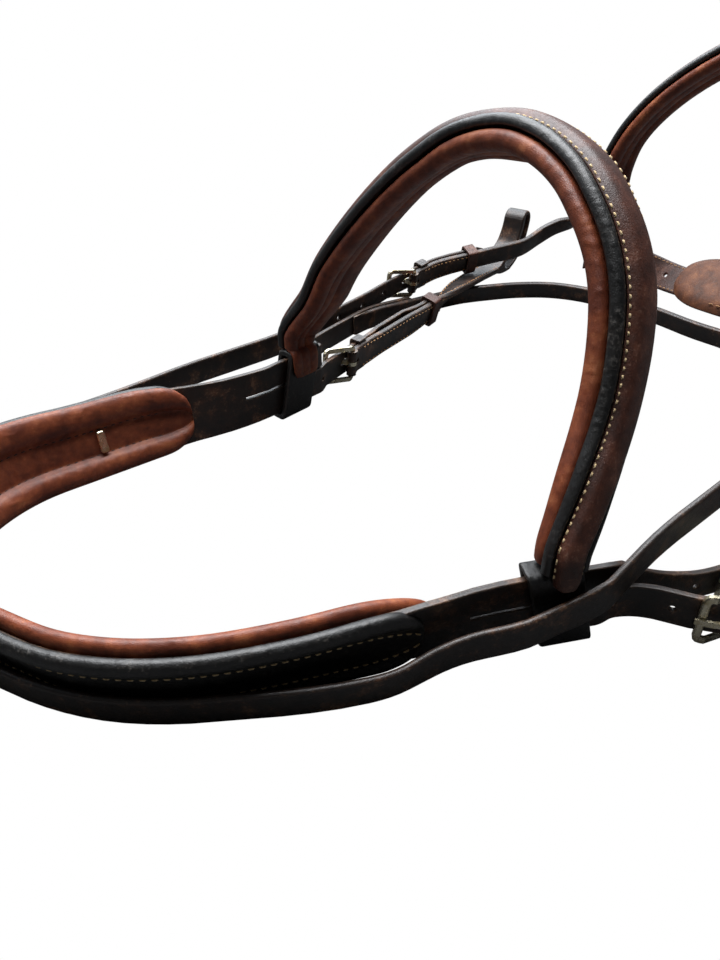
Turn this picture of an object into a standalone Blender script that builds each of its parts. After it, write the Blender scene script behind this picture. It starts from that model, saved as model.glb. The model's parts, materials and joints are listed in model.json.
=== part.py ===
"""A raised padded bridle laid out on a table: padded bands on edge, thin straps running between them.

Metres, +Z up. The floor is z = 0 and the origin is the middle of the layout.
Straps are cut flat, punched, and then bent along routes. A route is a smooth line with the direction of the
strap's width at each place; T runs along it, W across the strap and N out of its outer face.
"""

import math

import bmesh
import bpy
import numpy as np
from mathutils import Matrix

for old in list(bpy.data.objects):
    bpy.data.objects.remove(old, do_unlink=True)

# Layout
LAY_LENGTH = 0.5000  # the length that every place in the tables below is a share of
GAP = 0.0003  # clearance between pieces that touch
PLY_GAP = 0.0005  # clearance between a billet and the strap it lies on
SMOOTH_STEPS = 14  # points of a smooth route between two places of its table
STATION_LONG = 0.0300  # longest straight run between two bends of a strap
SMOOTH_DEG = 38.0  # edges sharper than this stay sharp
TURN_DEG = 15.0  # most that a strap turns at one bend
TWIST_DEG = 12.0  # most that it twists
STATION_SHORT = 0.0010  # a bend nearer than this to a strap's end is left out
STATION_CLEAR = 0.0040  # or nearer than this to a rigid fitting's straight run

# Leather
BILLET_THICK = 0.0028
CHAPE_THICK = 0.0040  # two plies sewn together
EDGE = 0.0006  # bevel of a cut edge
ON_PLANE = 0.00001  # a point this near a cut counts as on it
WELD = 0.000002

# Headpiece
CROWN_WIDTH = 0.0400
CROWN_THICK = 0.0028
FACING_THICK = 0.0032
CROWN_PAD_THICK = 0.0060
CHEEK_BILLET = 0.0154
THROAT_BILLET = 0.0130
SLIT = 0.0012

# Browband and noseband
BAND_WIDTH = 0.0300
NOSE_WIDTH = 0.0320
BAND_THICK = 0.0034
BAND_PAD_THICK = 0.0074
RAISE_THICK = 0.0044
LOOP_WIDTH = 0.0205
LOOP_WALL = 0.0030
LOOP_PLAY = 0.0012  # room between a browband loop and the headpiece

# Straps
CHEEK_WIDTH = 0.0158
SLIP_WIDTH = 0.0140
THROAT_WIDTH = 0.0130
CHIN_WIDTH = 0.0220
HOLE_RADIUS = 0.0020

# Buckles
BAR_WIDE = 0.0030
BAR_THICK = 0.0024
BAR_BEVEL = 0.0005
EYE_PLAY = 0.0005
EYE_WALL = 0.0013
TONGUE_THICK = 0.0013
TONGUE_WIDE = 0.0024
KEEPER_WALL = 0.0017
KEEPER_LONG = 0.0080
KEEPER_PLAY = 0.0004
FRAME_LONG = 0.0165  # from the hinge bar to the front bar
RUNNER_TRAVEL = 0.0040  # how far a runner slides each way

FRONT_LIFT = 0.0006  # room between a billet and the front bar over it

# Splits, laps and holes
SPLIT = 0.0190  # from the middle of a browband loop to where its two billets part
BLEND = 0.0150  # over this length a billet leaves the headpiece's line for its own
SLIT_RUN = 0.0330  # a slit starts this far inside the loop
HINGE_SHIFT = 0.0075
HOLE_PITCH = 0.0240
PAST_HINGE = 0.0980  # a cheek billet runs this far past its hinge bar
PAST_THROAT = 0.0620
PAST_SLIP = 0.0720
LAP_LONG = 0.0500  # the throatlatch's sewn lap
TONGUE_HOLE_LONG = 0.0042
TONGUE_HOLE_MID = -0.0022
BILLET_BOW = 0.0040
TIP_LONG = 0.0090

# Pads
PAD_TIP = 0.0170  # length over which a pad's end is rounded off
BAND_PAD_TIP = 0.0120
RAISE_TIP = 0.0120
RAISE_PAST = 0.0050  # the browband's raised strip runs on this far over its loops
NOSE_RAISE_IN = 0.0620  # from the noseband's end to its raised strip
LOOP_LEAN_SHARE = 0.25  # how far a loop leans along the headpiece, as a share of its height
PAD_FOOT = 0.0006  # from a band's end to its pad
NOSE_PAD_FOOT = 0.0300
STAPLE_IN = 0.0480  # from a pad end to its staple
STAPLE_LONG = 0.0110
STAPLE_WIDE = 0.0040
STAPLE_THICK = 0.0016

# Folds and keepers
BIT_LONG = 0.0400
BIT_HIGH = 0.0090
BIT_WALL = 0.0030
BIT_END_OUT = 0.0040
TONGUE_REACH = 0.0046
KEEPER_AT = 0.0130  # from a hinge bar to its sewn keeper
CHEEK_RUNNER_AT = 0.0920
THROAT_RUNNER_AT = 0.0400
SLIP_RUNNER_AT = 0.0560
CHIN_TAIL = 0.0380
CHIN_PITCH = 0.0200
CHIN_PAD_WIDE = 0.0450
CHIN_PAD_BACK = 0.0450  # from the hinge bar back to the pad's end
CHIN_PAD_PAST = 0.0620
CHIN_PAD_THICK = 0.0060
CHIN_PAD_TIP = 0.0300

# Shares
END_SHARE = 0.30
PLAIN_SHARE = 0.001
POINT_SHARE = 0.16
FOOT_FULL_SHARE = 0.96
BAND_FOOT_SHARE = 0.56  # width of a band's foot, as a share of its full width
NOSE_FOOT_SHARE = 0.80
BAND_TAPER_SHARE = 0.30  # share of its length over which it widens
RAISE_SHARE = 0.58
PAD_EDGE_SHARE = 1.02
TONGUE_DIP_SHARE = 0.60
LAP_SHARE = 0.40
CHIN_PAD_NARROW_SHARE = 0.90
TIP_RINGS_SHARES = (0.0, 0.12, 0.36, 0.68, 1.0)
TIP_SHARE = 0.38
TIP_WIDTH_SHARE = 0.66
TIP_FLAT_SHARE = 0.22

# Routes: each row is a place as shares of LAY_LENGTH, then the strap's lean outwards in degrees,
# or the direction of its width
CROWN_SHARES = (
    (-0.2169, 0.0214, 0.0398, 0),
    (-0.2349, 0.0030, 0.0398, 0),
    (-0.2525, -0.0160, 0.0398, 0),
    (-0.2809, -0.0446, 0.0386, 0),
    (-0.3035, -0.0581, 0.0370, 2),
    (-0.3281, -0.0707, 0.0351, 5),
    (-0.3573, -0.0829, 0.0343, 9),
    (-0.3841, -0.0976, 0.0353, 13),
    (-0.4069, -0.1144, 0.0366, 16),
    (-0.4483, -0.1456, 0.0369, 17),
    (-0.4894, -0.1786, 0.0388, 17),
    (-0.5172, -0.2188, 0.0407, 17),
    (-0.5299, -0.2639, 0.0415, 17.5),
    (-0.5235, -0.3109, 0.0414, 18),
    (-0.4972, -0.3538, 0.0404, 18.5),
    (-0.4584, -0.3851, 0.0384, 19),
    (-0.4175, -0.4046, 0.0369, 19.5),
    (-0.3807, -0.4206, 0.0358, 20),
    (-0.3429, -0.4279, 0.0355, 20),
    (-0.2996, -0.4276, 0.0353, 20),
    (-0.2537, -0.4195, 0.0353, 20),
    (-0.2062, -0.4055, 0.0355, 19),
    (-0.1729, -0.3948, 0.0358, 16),
    (-0.1402, -0.3846, 0.0356, 11),
    (-0.1123, -0.3757, 0.0365, 6),
    (-0.0847, -0.3684, 0.0382, 2),
    (-0.0629, -0.3638, 0.0394, 0),
    (-0.0409, -0.3602, 0.0398, 0),
    (-0.0189, -0.3554, 0.0398, 0),
    (0.0071, -0.3496, 0.0398, 0),
)
CROWN_WIDTH_SHARES = (
    0.740, 0.740, 0.740, 0.740, 0.750, 0.750, 0.762, 0.812, 0.863, 0.875,
    0.925, 0.975, 1.000, 1.000, 0.975, 0.925, 0.887, 0.863, 0.855, 0.850,
    0.850, 0.850, 0.838, 0.800, 0.762, 0.750, 0.740, 0.740, 0.740, 0.740,
)
FAR_CHEEK_SHARES = (
    (0.0551, 0.4054, 0.1166, 0.83, -0.56, 0),
    (0.0531, 0.4034, 0.0866, 0.83, -0.56, 0),
    (0.0441, 0.3944, 0.0586, 0.82, -0.57, 0),
    (0.0231, 0.3704, 0.0406, 0.8, -0.6, 0),
    (-0.0029, 0.3374, 0.0402, 0.8, -0.6, 0),
    (-0.0319, 0.2954, 0.0412, 0.8, -0.6, 0.02),
    (-0.0569, 0.2574, 0.0412, 0.74, -0.55, 0.36),
    (-0.0819, 0.2204, 0.0326, 0.25, -0.2, 0.95),
    (-0.1069, 0.1864, 0.0294, 0.12, -0.1, 1),
    (-0.1379, 0.1454, 0.0282, 0.12, -0.1, 1),
    (-0.1689, 0.1044, 0.0270, 0.12, -0.1, 1),
    (-0.1909, 0.0724, 0.0266, 0.1, -0.08, 1),
    (-0.2089, 0.0454, 0.0266, 0.06, -0.05, 1),
    (-0.2219, 0.0224, 0.0266, 0, 0, 1),
)
NEAR_CHEEK_SHARES = (
    (0.0031, -0.3480, 0.0266, 0, 0, 1),
    (0.0231, -0.3442, 0.0266, 0, 0, 1),
    (0.0411, -0.3474, 0.0266, 0, 0, 1),
    (0.0571, -0.3540, 0.0266, 0, 0, 1),
    (0.0771, -0.3614, 0.0266, 0, 0, 1),
    (0.1011, -0.3690, 0.0270, 0, 0, 1),
    (0.1251, -0.3746, 0.0274, 0, 0, 1),
    (0.1771, -0.3836, 0.0274, 0, 0, 1),
    (0.2411, -0.3866, 0.0274, 0, 0, 1),
    (0.3171, -0.3806, 0.0266, 0, 0, 1),
    (0.3971, -0.3686, 0.0246, 0, 0, 1),
    (0.4671, -0.3526, 0.0216, 0, 0, 1),
    (0.5211, -0.3366, 0.0198, 0, 0, 1),
    (0.5731, -0.3186, 0.0198, 0, 0, 1),
)
THROAT_SHARES = (
    (0.0111, -0.3410, 0.0446, 0, 0, 1),
    (0.0351, -0.3322, 0.0316, 0, 0, 1),
    (0.0611, -0.3268, 0.0250, 0, 0, 1),
    (0.0911, -0.3216, 0.0238, 0, 0, 1),
    (0.1271, -0.3096, 0.0238, 0, 0, 1),
    (0.1611, -0.2956, 0.0238, 0, 0, 1),
    (0.1951, -0.2786, 0.0238, 0, 0, 1),
    (0.2311, -0.2556, 0.0234, 0, 0, 1),
    (0.2811, -0.2126, 0.0198, 0, 0, 1),
    (0.3191, -0.1566, 0.0166, 0.05, 0, 1),
    (0.3391, -0.0806, 0.0164, 0.08, 0, 1),
    (0.3391, 0.0034, 0.0164, 0.1, 0.02, 1),
    (0.3211, 0.0814, 0.0164, -0.05, -0.05, 1),
    (0.2931, 0.1454, 0.0164, -0.12, -0.12, 1),
    (0.2651, 0.1774, 0.0164, -0.15, -0.16, 1),
    (0.2321, 0.2264, 0.0164, -0.17, -0.2, 1),
    (0.1871, 0.2754, 0.0164, -0.16, -0.22, 1),
    (0.1411, 0.3104, 0.0164, -0.1, -0.26, 1),
    (0.1011, 0.3240, 0.0164, 0, -0.22, 1),
    (0.0651, 0.3254, 0.0164, 0.05, -0.2, 1),
    (0.0331, 0.3214, 0.0164, 0.08, -0.18, 1),
    (0.0031, 0.3134, 0.0164, 0.1, -0.15, 1),
    (-0.0309, 0.3034, 0.0164, 0.1, -0.12, 1),
    (-0.0649, 0.2854, 0.0164, 0.1, -0.1, 1),
    (-0.1009, 0.2574, 0.0190, 0.08, -0.08, 1),
    (-0.1319, 0.2204, 0.0256, 0.05, -0.05, 1),
    (-0.1699, 0.1794, 0.0320, 0, 0, 1),
    (-0.1999, 0.1344, 0.0336, 0, 0, 1),
    (-0.2239, 0.0954, 0.0360, 0, 0, 1),
    (-0.2381, 0.0602, 0.0414, 0, 0, 1),
    (-0.2421, 0.0374, 0.0502, 0, 0, 1),
)
SLIPHEAD_SHARES = (
    (0.2111, 0.4520, 0.1006, 0),
    (0.1871, 0.4430, 0.1006, 0),
    (0.1614, 0.4323, 0.0976, -3),
    (0.1386, 0.4149, 0.0909, -36),
    (0.1130, 0.4045, 0.0864, -24),
    (0.0873, 0.3905, 0.0771, -15),
    (0.0555, 0.3628, 0.0679, -18),
    (0.0251, 0.3471, 0.0654, -20),
    (-0.0109, 0.3311, 0.0630, -20),
    (-0.0487, 0.3127, 0.0599, -18),
    (-0.0867, 0.2888, 0.0562, -14),
    (-0.1241, 0.2518, 0.0524, -10),
    (-0.1617, 0.2045, 0.0475, -6),
    (-0.1963, 0.1609, 0.0456, -3),
    (-0.2309, 0.1194, 0.0436, 0),
    (-0.2859, 0.0654, 0.0416, 0),
    (-0.3129, 0.0434, 0.0406, 0),
    (-0.3641, 0.0014, 0.0406, 0),
    (-0.4101, -0.0426, 0.0396, 0),
    (-0.4497, -0.0764, 0.0376, 1),
    (-0.4940, -0.1103, 0.0346, 2),
    (-0.5265, -0.1542, 0.0306, 3),
    (-0.5498, -0.2103, 0.0266, 4),
    (-0.5581, -0.2666, 0.0235, 5),
    (-0.5462, -0.3212, 0.0213, 6),
    (-0.5141, -0.3699, 0.0197, 7),
    (-0.4718, -0.3903, 0.0189, 8),
    (-0.4325, -0.4102, 0.0185, 8),
    (-0.3941, -0.4264, 0.0185, 8),
    (-0.3575, -0.4361, 0.0185, 8),
    (-0.3228, -0.4397, 0.0185, 8),
    (-0.2902, -0.4387, 0.0185, 8),
    (-0.2575, -0.4355, 0.0185, 8),
    (-0.2240, -0.4317, 0.0185, 8),
    (-0.1905, -0.4261, 0.0189, 8),
    (-0.1575, -0.4166, 0.0205, 7),
    (-0.1388, -0.4076, 0.0245, 6),
    (-0.1206, -0.4018, 0.0305, 5),
    (-0.1038, -0.3984, 0.0346, 4),
    (-0.0858, -0.3965, 0.0386, 3),
    (-0.0668, -0.3927, 0.0416, 2),
    (-0.0488, -0.3848, 0.0446, 1),
    (-0.0289, -0.3766, 0.0476, 0),
    (-0.0123, -0.3710, 0.0546, 0),
    (0.0081, -0.3546, 0.0626, 0),
    (0.0301, -0.3370, 0.0726, 0),
    (0.0531, -0.3196, 0.0786, 0),
    (0.0751, -0.3036, 0.0846, 0),
    (0.0911, -0.2932, 0.0886, 0),
    (0.1571, -0.2446, 0.0956, 0),
    (0.2371, -0.1746, 0.0986, 0),
    (0.3271, -0.0786, 0.0986, 0),
    (0.4111, 0.0214, 0.0966, 0),
    (0.4671, 0.0794, 0.0946, 0),
    (0.4991, 0.1014, 0.0946, 0),
    (0.5191, 0.1064, 0.0946, 0),
)
BROWBAND_SHARES = (
    (-0.2541, -0.0072, 0.0785, 0.7, 0.717, -0),
    (-0.2541, -0.0072, 0.0926, 0.7, 0.717, -0),
    (-0.2421, -0.0134, 0.1146, 0.66, 0.75, -0.03),
    (-0.2285, -0.0270, 0.1371, 0.583, 0.811, -0.047),
    (-0.2127, -0.0346, 0.1716, 0.568, 0.822, -0.045),
    (-0.1931, -0.0478, 0.2031, 0.608, 0.794, 0.013),
    (-0.1709, -0.0678, 0.2361, 0.613, 0.788, 0.058),
    (-0.1509, -0.0850, 0.2624, 0.619, 0.784, 0.053),
    (-0.1321, -0.1014, 0.2826, 0.623, 0.781, 0.035),
    (-0.1129, -0.1170, 0.2998, 0.659, 0.752, -0.017),
    (-0.0939, -0.1344, 0.3107, 0.735, 0.661, -0.148),
    (-0.0763, -0.1540, 0.3160, 0.77, 0.575, -0.275),
    (-0.0625, -0.1724, 0.3184, 0.763, 0.548, -0.341),
    (-0.0489, -0.1924, 0.3160, 0.749, 0.544, -0.378),
    (-0.0371, -0.2136, 0.3100, 0.743, 0.549, -0.384),
    (-0.0261, -0.2350, 0.2990, 0.734, 0.567, -0.375),
    (-0.0205, -0.2492, 0.2883, 0.705, 0.616, -0.352),
    (-0.0145, -0.2616, 0.2758, 0.685, 0.665, -0.298),
    (-0.0097, -0.2732, 0.2601, 0.685, 0.658, -0.313),
    (-0.0073, -0.2850, 0.2424, 0.692, 0.634, -0.346),
    (-0.0077, -0.2986, 0.2170, 0.679, 0.625, -0.385),
    (-0.0111, -0.3118, 0.1919, 0.676, 0.58, -0.454),
    (-0.0183, -0.3278, 0.1640, 0.72, 0.493, -0.488),
    (-0.0285, -0.3462, 0.1378, 0.83, 0.42, -0.33),
    (-0.0369, -0.3594, 0.1126, 0.93, 0.3, -0.12),
    (-0.0431, -0.3680, 0.0926, 0.982, 0.187, 0),
    (-0.0431, -0.3680, 0.0785, 0.982, 0.187, 0),
)
NOSEBAND_SHARES = (
    (0.1951, 0.4234, 0.0126, 0.93, 0.36, 0),
    (0.1945, 0.4250, 0.0506, 0.93, 0.36, 0),
    (0.1937, 0.4262, 0.0906, 0.93, 0.36, 0),
    (0.1927, 0.4266, 0.1266, 0.92, 0.38, -0.03),
    (0.1951, 0.4224, 0.1666, 0.78, 0.6, -0.12),
    (0.2051, 0.4154, 0.2066, 0.68, 0.69, -0.19),
    (0.2271, 0.4024, 0.2466, 0.64, 0.71, -0.24),
    (0.2511, 0.3864, 0.2766, 0.63, 0.72, -0.26),
    (0.2871, 0.3594, 0.3106, 0.63, 0.72, -0.27),
    (0.3211, 0.3294, 0.3346, 0.63, 0.72, -0.27),
    (0.3571, 0.2954, 0.3496, 0.63, 0.72, -0.27),
    (0.3931, 0.2594, 0.3536, 0.63, 0.72, -0.27),
    (0.4251, 0.2274, 0.3426, 0.63, 0.72, -0.27),
    (0.4531, 0.1994, 0.3186, 0.63, 0.72, -0.26),
    (0.4771, 0.1744, 0.2806, 0.64, 0.72, -0.24),
    (0.4941, 0.1534, 0.2326, 0.66, 0.72, -0.2),
    (0.5011, 0.1374, 0.1826, 0.68, 0.72, -0.14),
    (0.5011, 0.1264, 0.1346, 0.7, 0.71, -0.08),
    (0.4981, 0.1194, 0.0906, 0.71, 0.7, -0.03),
    (0.4941, 0.1154, 0.0506, 0.71, 0.7, 0),
    (0.4911, 0.1124, 0.0126, 0.71, 0.7, 0),
)
CHIN_SHARES = (
    (0.4911, 0.0898, 0.0316, 0, 0, 1),
    (0.5023, 0.1010, 0.0316, 0, 0, 1),
    (0.5171, 0.1158, 0.0316, 0, 0, 1),
    (0.5351, 0.1384, 0.0316, 0, 0, 1),
    (0.5271, 0.1594, 0.0316, 0.06, 0.06, 1),
    (0.4991, 0.1714, 0.0316, 0.2, 0.18, 0.95),
    (0.4591, 0.1794, 0.0318, 0.5, 0.44, 0.74),
    (0.4171, 0.1984, 0.0326, 0.58, 0.5, 0.64),
    (0.3771, 0.2214, 0.0330, 0.6, 0.52, 0.6),
    (0.3411, 0.2474, 0.0330, 0.6, 0.52, 0.6),
    (0.3131, 0.2774, 0.0326, 0.6, 0.5, 0.62),
    (0.2911, 0.3114, 0.0316, 0.56, 0.46, 0.68),
    (0.2711, 0.3474, 0.0306, 0.45, 0.36, 0.8),
    (0.2551, 0.3794, 0.0306, 0.2, 0.16, 0.96),
    (0.2411, 0.4114, 0.0316, 0.04, 0.05, 1),
    (0.2311, 0.4334, 0.0316, 0, 0, 1),
    (0.2131, 0.4414, 0.0316, 0, 0, 1),
    (0.1951, 0.4338, 0.0316, 0, 0, 1),
    (0.1771, 0.4268, 0.0316, 0, 0, 1),
)

PARTS = bpy.data.collections.new("bridle")
CUTTERS = bpy.data.collections.new("cutters")
for group in (PARTS, CUTTERS):
    bpy.context.scene.collection.children.link(group)
CUTTERS.hide_render = True
layer = bpy.context.view_layer
layer.active_layer_collection = layer.layer_collection.children[CUTTERS.name]


def unit(v):
    return v / np.linalg.norm(v, axis=-1, keepdims=True)


class Route:
    """A smooth line through places, with a width direction at each. It runs straight on past its ends."""

    def __init__(self, places, widths):
        per = SMOOTH_STEPS
        places = np.array(places, float)
        widths = unit(np.array(widths, float))
        chord = np.concatenate([[0.0], np.cumsum(np.linalg.norm(np.diff(places, axis=0), axis=1))])
        steps = [np.linspace(a, b, per, endpoint=False) for a, b in zip(chord, chord[1:])]
        u = np.concatenate(steps + [[chord[-1]]])
        self.p = self.smooth(chord, places, u)
        w = self.smooth(chord, widths, u)
        self.s = np.concatenate([[0.0], np.cumsum(np.linalg.norm(np.diff(self.p, axis=0), axis=1))])
        self.knots = self.s[::per]
        self.t = unit(np.gradient(self.p, self.s, axis=0))
        self.w = unit(w - self.t * (w * self.t).sum(1, keepdims=True))
        self.long = self.s[-1]
        self.rebend(self.bends())

    def rebend(self, places):
        """Sets the bends. Between two of them the route is straight."""
        self.p, self.t, self.w = self.between(places)
        self.s = np.array(places)

    def between(self, places):
        """Place, direction and width direction at each place, read between the bends."""
        rows = (self.p, self.t, self.w)
        return [np.stack([np.interp(places, self.s, row[:, i]) for i in range(3)], -1) for row in rows]

    def straight(self, low, high):
        """Makes the route straight from low to high, for a rigid fitting."""
        low, high = max(low, 0.0), min(high, self.long)
        near, far = low - STATION_CLEAR, high + STATION_CLEAR
        keep = [s for s in self.s if not near < s < far or s in (0.0, self.long)]
        self.rebend(sorted(set(keep + [low, high])))
        a, b = np.searchsorted(self.s, (low, high))
        self.t[a] = self.t[b] = unit(self.p[b] - self.p[a])
        self.w[a] = self.w[b] = unit(self.w[a] + self.w[b])

    def also(self, places):
        """Adds bends at these places, so that pieces that start there keep to each other's shape."""
        apart = [min(abs(s - place) for place in places) for s in self.s]
        keep = [s for s, clear in zip(self.s, apart) if clear > STATION_SHORT or s in (0.0, self.long)]
        self.rebend(sorted(set(keep + [s for s in places if 0 < s < self.long])))

    @staticmethod
    def smooth(x, y, at):
        slope = np.gradient(y, x, axis=0)
        k = np.clip(np.searchsorted(x, at, side="right") - 1, 0, len(x) - 2)
        h = (x[k + 1] - x[k])[:, None]
        q = ((at - x[k])[:, None]) / h
        a = (1 + 2 * q) * (1 - q) ** 2
        b = q * (1 - q) ** 2
        c = q * q * (3 - 2 * q)
        d = q * q * (q - 1)
        return a * y[k] + b * h * slope[k] + c * y[k + 1] + d * h * slope[k + 1]

    def frame(self, s):
        s = np.asarray(s, float)
        clip = np.clip(s, 0, self.long)
        p, t, w = self.between(clip)
        t = unit(t)
        w = unit(w - t * (w * t).sum(-1, keepdims=True))
        return p + t * (s - clip)[..., None], t, w, np.cross(t, w)

    def at(self, s, y, z):
        p, _, w, n = self.frame(s)
        return p + w * np.asarray(y)[..., None] + n * np.asarray(z)[..., None]

    def matrix(self, s, way=1):
        """X along the strap (against the route if way is -1), Y across it, Z out of it."""
        p, _, w, _ = self.frame(s)
        k = int(np.clip(np.searchsorted(self.s, s) - 1, 0, len(self.s) - 2))
        t = unit(self.p[k + 1] - self.p[k])
        w = unit(w - t * (w * t).sum())
        n = np.cross(t, w)
        m = np.eye(4)
        m[:3, 0], m[:3, 1], m[:3, 2], m[:3, 3] = way * t, way * w, n, p
        return Matrix(m.tolist())

    def bends(self):
        """Places along the route where every strap on it is bent, closer together where it turns."""
        turn = np.degrees(np.arccos(np.clip((self.t[1:] * self.t[:-1]).sum(1), -1, 1)))
        twist = np.degrees(np.arccos(np.clip((self.w[1:] * self.w[:-1]).sum(1), -1, 1)))
        step = np.maximum(np.maximum(turn / TURN_DEG, twist / TWIST_DEG), np.diff(self.s) / STATION_LONG)
        cost = np.concatenate([[0.0], np.cumsum(step)])
        count = max(2, int(math.ceil(cost[-1])))
        return np.interp(np.linspace(0, cost[-1], count + 1), cost, self.s)

    def stations(self, start, end):
        """The bends between start and end, with start and end themselves."""
        inside = [s for s in self.s if start + STATION_SHORT < s < end - STATION_SHORT]
        return np.array([start] + inside + [end])



def standing(rows):
    """A route for a strap on edge that leans outwards by the last number of each row, in degrees."""
    rows = np.array(rows, float)
    t = unit(np.gradient(rows[:, :2], axis=0))
    lean = np.radians(rows[:, 3])
    out = np.stack([t[:, 1], -t[:, 0]], 1) * np.sin(lean)[:, None]
    return Route(rows[:, :3] * LAY_LENGTH, np.column_stack([out, np.cos(lean)]))


def tip_places(start, end, tip):
    """Where a pad's rounded ends are cut across."""
    steps = [tip * share for share in TIP_RINGS_SHARES]
    return [start + step for step in steps] + [end - step for step in steps]


def directed(rows):
    rows = np.array(rows, float)
    return Route(rows[:, :3] * LAY_LENGTH, rows[:, 3:6])


# Building


def node(name, mesh, slot):
    obj = bpy.data.objects.new(name, mesh)
    PARTS.objects.link(obj)
    mesh.materials.clear()
    mesh.materials.append(MATERIALS[slot])
    mesh.set_sharp_from_angle(angle=math.radians(SMOOTH_DEG))
    return obj


def cut_flat(outlines, low, high, bevel=0.0):
    """A flat piece cut to the first outline, with the others punched through, from z = low to high."""
    curve = bpy.data.curves.new("cut", "CURVE")
    curve.dimensions = "2D"
    curve.fill_mode = "BOTH"
    curve.extrude = (high - low) / 2 - bevel
    curve.bevel_depth = bevel
    curve.offset = -bevel
    curve.bevel_resolution = 0
    for k, points in enumerate(outlines):
        turn = sum(a[0] * b[1] - b[0] * a[1] for a, b in zip(points, points[1:] + points[:1]))
        points = points if (turn > 0) == (k == 0) else points[::-1]
        spline = curve.splines.new("POLY")
        spline.points.add(len(points) - 1)
        for target, (x, y) in zip(spline.points, points):
            target.co = (x, y, 0, 1)
        spline.use_cyclic_u = True
    obj = bpy.data.objects.new("cut", curve)
    bpy.context.scene.collection.objects.link(obj)
    graph = bpy.context.evaluated_depsgraph_get()
    mesh = bpy.data.meshes.new_from_object(obj.evaluated_get(graph))
    bpy.data.objects.remove(obj, do_unlink=True)
    work = bmesh.new()
    work.from_mesh(mesh)
    bmesh.ops.remove_doubles(work, verts=work.verts, dist=WELD)
    bmesh.ops.translate(work, verts=work.verts, vec=(0, 0, (low + high) / 2))
    bmesh.ops.dissolve_limit(work, angle_limit=math.radians(1), verts=work.verts, edges=work.edges)
    work.to_mesh(mesh)
    work.free()
    return mesh


def turned(mesh):
    """A piece drawn from the side: its Y becomes the height off the face and its Z the strap's width."""
    mesh.transform(Matrix(((1, 0, 0, 0), (0, 0, -1, 0), (0, 1, 0, 0), (0, 0, 0, 1))))
    return mesh


def cut_box(mesh, corners):
    """Takes a box, given by two opposite corners, out of a flat piece."""
    (x0, y0, z0), (x1, y1, z1) = corners
    obj = bpy.data.objects.new("work", mesh)
    CUTTERS.objects.link(obj)
    bpy.ops.mesh.primitive_cube_add(size=1)
    tool = bpy.context.object
    tool.hide_render = True
    tool.display_type = "WIRE"
    tool.matrix_world = Matrix.Translation(((x0 + x1) / 2, (y0 + y1) / 2, (z0 + z1) / 2)) @ Matrix.Diagonal(
        (x1 - x0, y1 - y0, z1 - z0, 1)
    )
    change = obj.modifiers.new("cut", "BOOLEAN")
    change.operation = "DIFFERENCE"
    change.solver = "EXACT"
    change.object = tool
    graph = bpy.context.evaluated_depsgraph_get()
    result = bpy.data.meshes.new_from_object(obj.evaluated_get(graph))
    bpy.data.objects.remove(obj, do_unlink=True)
    bpy.data.objects.remove(tool, do_unlink=True)
    return result


def slice_across(work, x, low=None, high=None):
    """Cuts a flat piece across at x, over its whole width or only below high or above low."""
    low = -math.inf if low is None else low
    high = math.inf if high is None else high
    faces = [f for f in work.faces if low < f.calc_center_median().y < high]
    edges = {e for f in faces for e in f.edges}
    verts = {v for f in faces for v in f.verts}
    bmesh.ops.bisect_plane(
        work, geom=list(verts) + list(edges) + faces, dist=ON_PLANE, plane_co=(x, 0, 0), plane_no=(1, 0, 0)
    )


def bend(mesh, route, start, way=1):
    """Bends a flat piece along a route: X runs from start, Y across, Z out."""
    work = bmesh.new()
    work.from_mesh(mesh)
    xs = [v.co.x for v in work.verts]
    ends = sorted((start + way * min(xs), start + way * max(xs)))
    for s in route.stations(*ends)[1:-1]:
        slice_across(work, way * (s - start))
    split_quads(work)
    co = np.array([v.co for v in work.verts])
    return moved(work, route.at(start + way * co[:, 0], way * co[:, 1], co[:, 2]))


def moved(work, places):
    """Moves every point to its new place and gives the finished mesh."""
    for vert, place in zip(work.verts, places):
        vert.co = place
    tidy(work)
    out = bpy.data.meshes.new("bent")
    work.to_mesh(out)
    work.free()
    return out


def merge_runs(work):
    """Joins the coplanar faces between two cuts into one where they fill a plain rectangle."""
    left = {f for f in work.faces if abs(f.normal.z) > 0.5}
    runs = []
    while left:
        run = [left.pop()]
        for face in run:
            for edge in face.edges:
                if abs(edge.verts[0].co.x - edge.verts[1].co.x) < ON_PLANE:
                    continue
                for other in edge.link_faces:
                    if other in left and other.normal.z * face.normal.z > 0:
                        left.discard(other)
                        run.append(other)
        runs.append(run)
    for run in runs:
        xs = [v.co.x for f in run for v in f.verts]
        ys = [v.co.y for f in run for v in f.verts]
        whole = (max(xs) - min(xs)) * (max(ys) - min(ys))
        if len(run) > 1 and abs(whole - sum(f.calc_area() for f in run)) < whole * PLAIN_SHARE:
            bmesh.ops.dissolve_faces(work, faces=run, use_verts=False)
    bmesh.ops.dissolve_verts(work, verts=[v for v in work.verts if len(v.link_edges) == 2])


def split_quads(work):
    """Splits every flat face between two cuts from its low corner to its high one.

    Pieces laid together then twist alike.
    """
    bmesh.ops.remove_doubles(work, verts=work.verts, dist=WELD)
    work.normal_update()
    merge_runs(work)
    for face in [f for f in work.faces if len(f.verts) >= 4]:
        xs = [v.co.x for v in face.verts]
        low_x, high_x = min(xs), max(xs)
        start = [v for v in face.verts if v.co.x - low_x < ON_PLANE]
        end = [v for v in face.verts if high_x - v.co.x < ON_PLANE]
        if len(start) < 2 or len(end) < 2 or len(start) + len(end) != len(xs):
            continue
        low = min(start, key=lambda v: v.co.y + v.co.z)
        high = max(end, key=lambda v: v.co.y + v.co.z)
        apart = abs(list(face.verts).index(low) - list(face.verts).index(high))
        if 1 < apart < len(xs) - 1:
            bmesh.utils.face_split(face, low, high)


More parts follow.
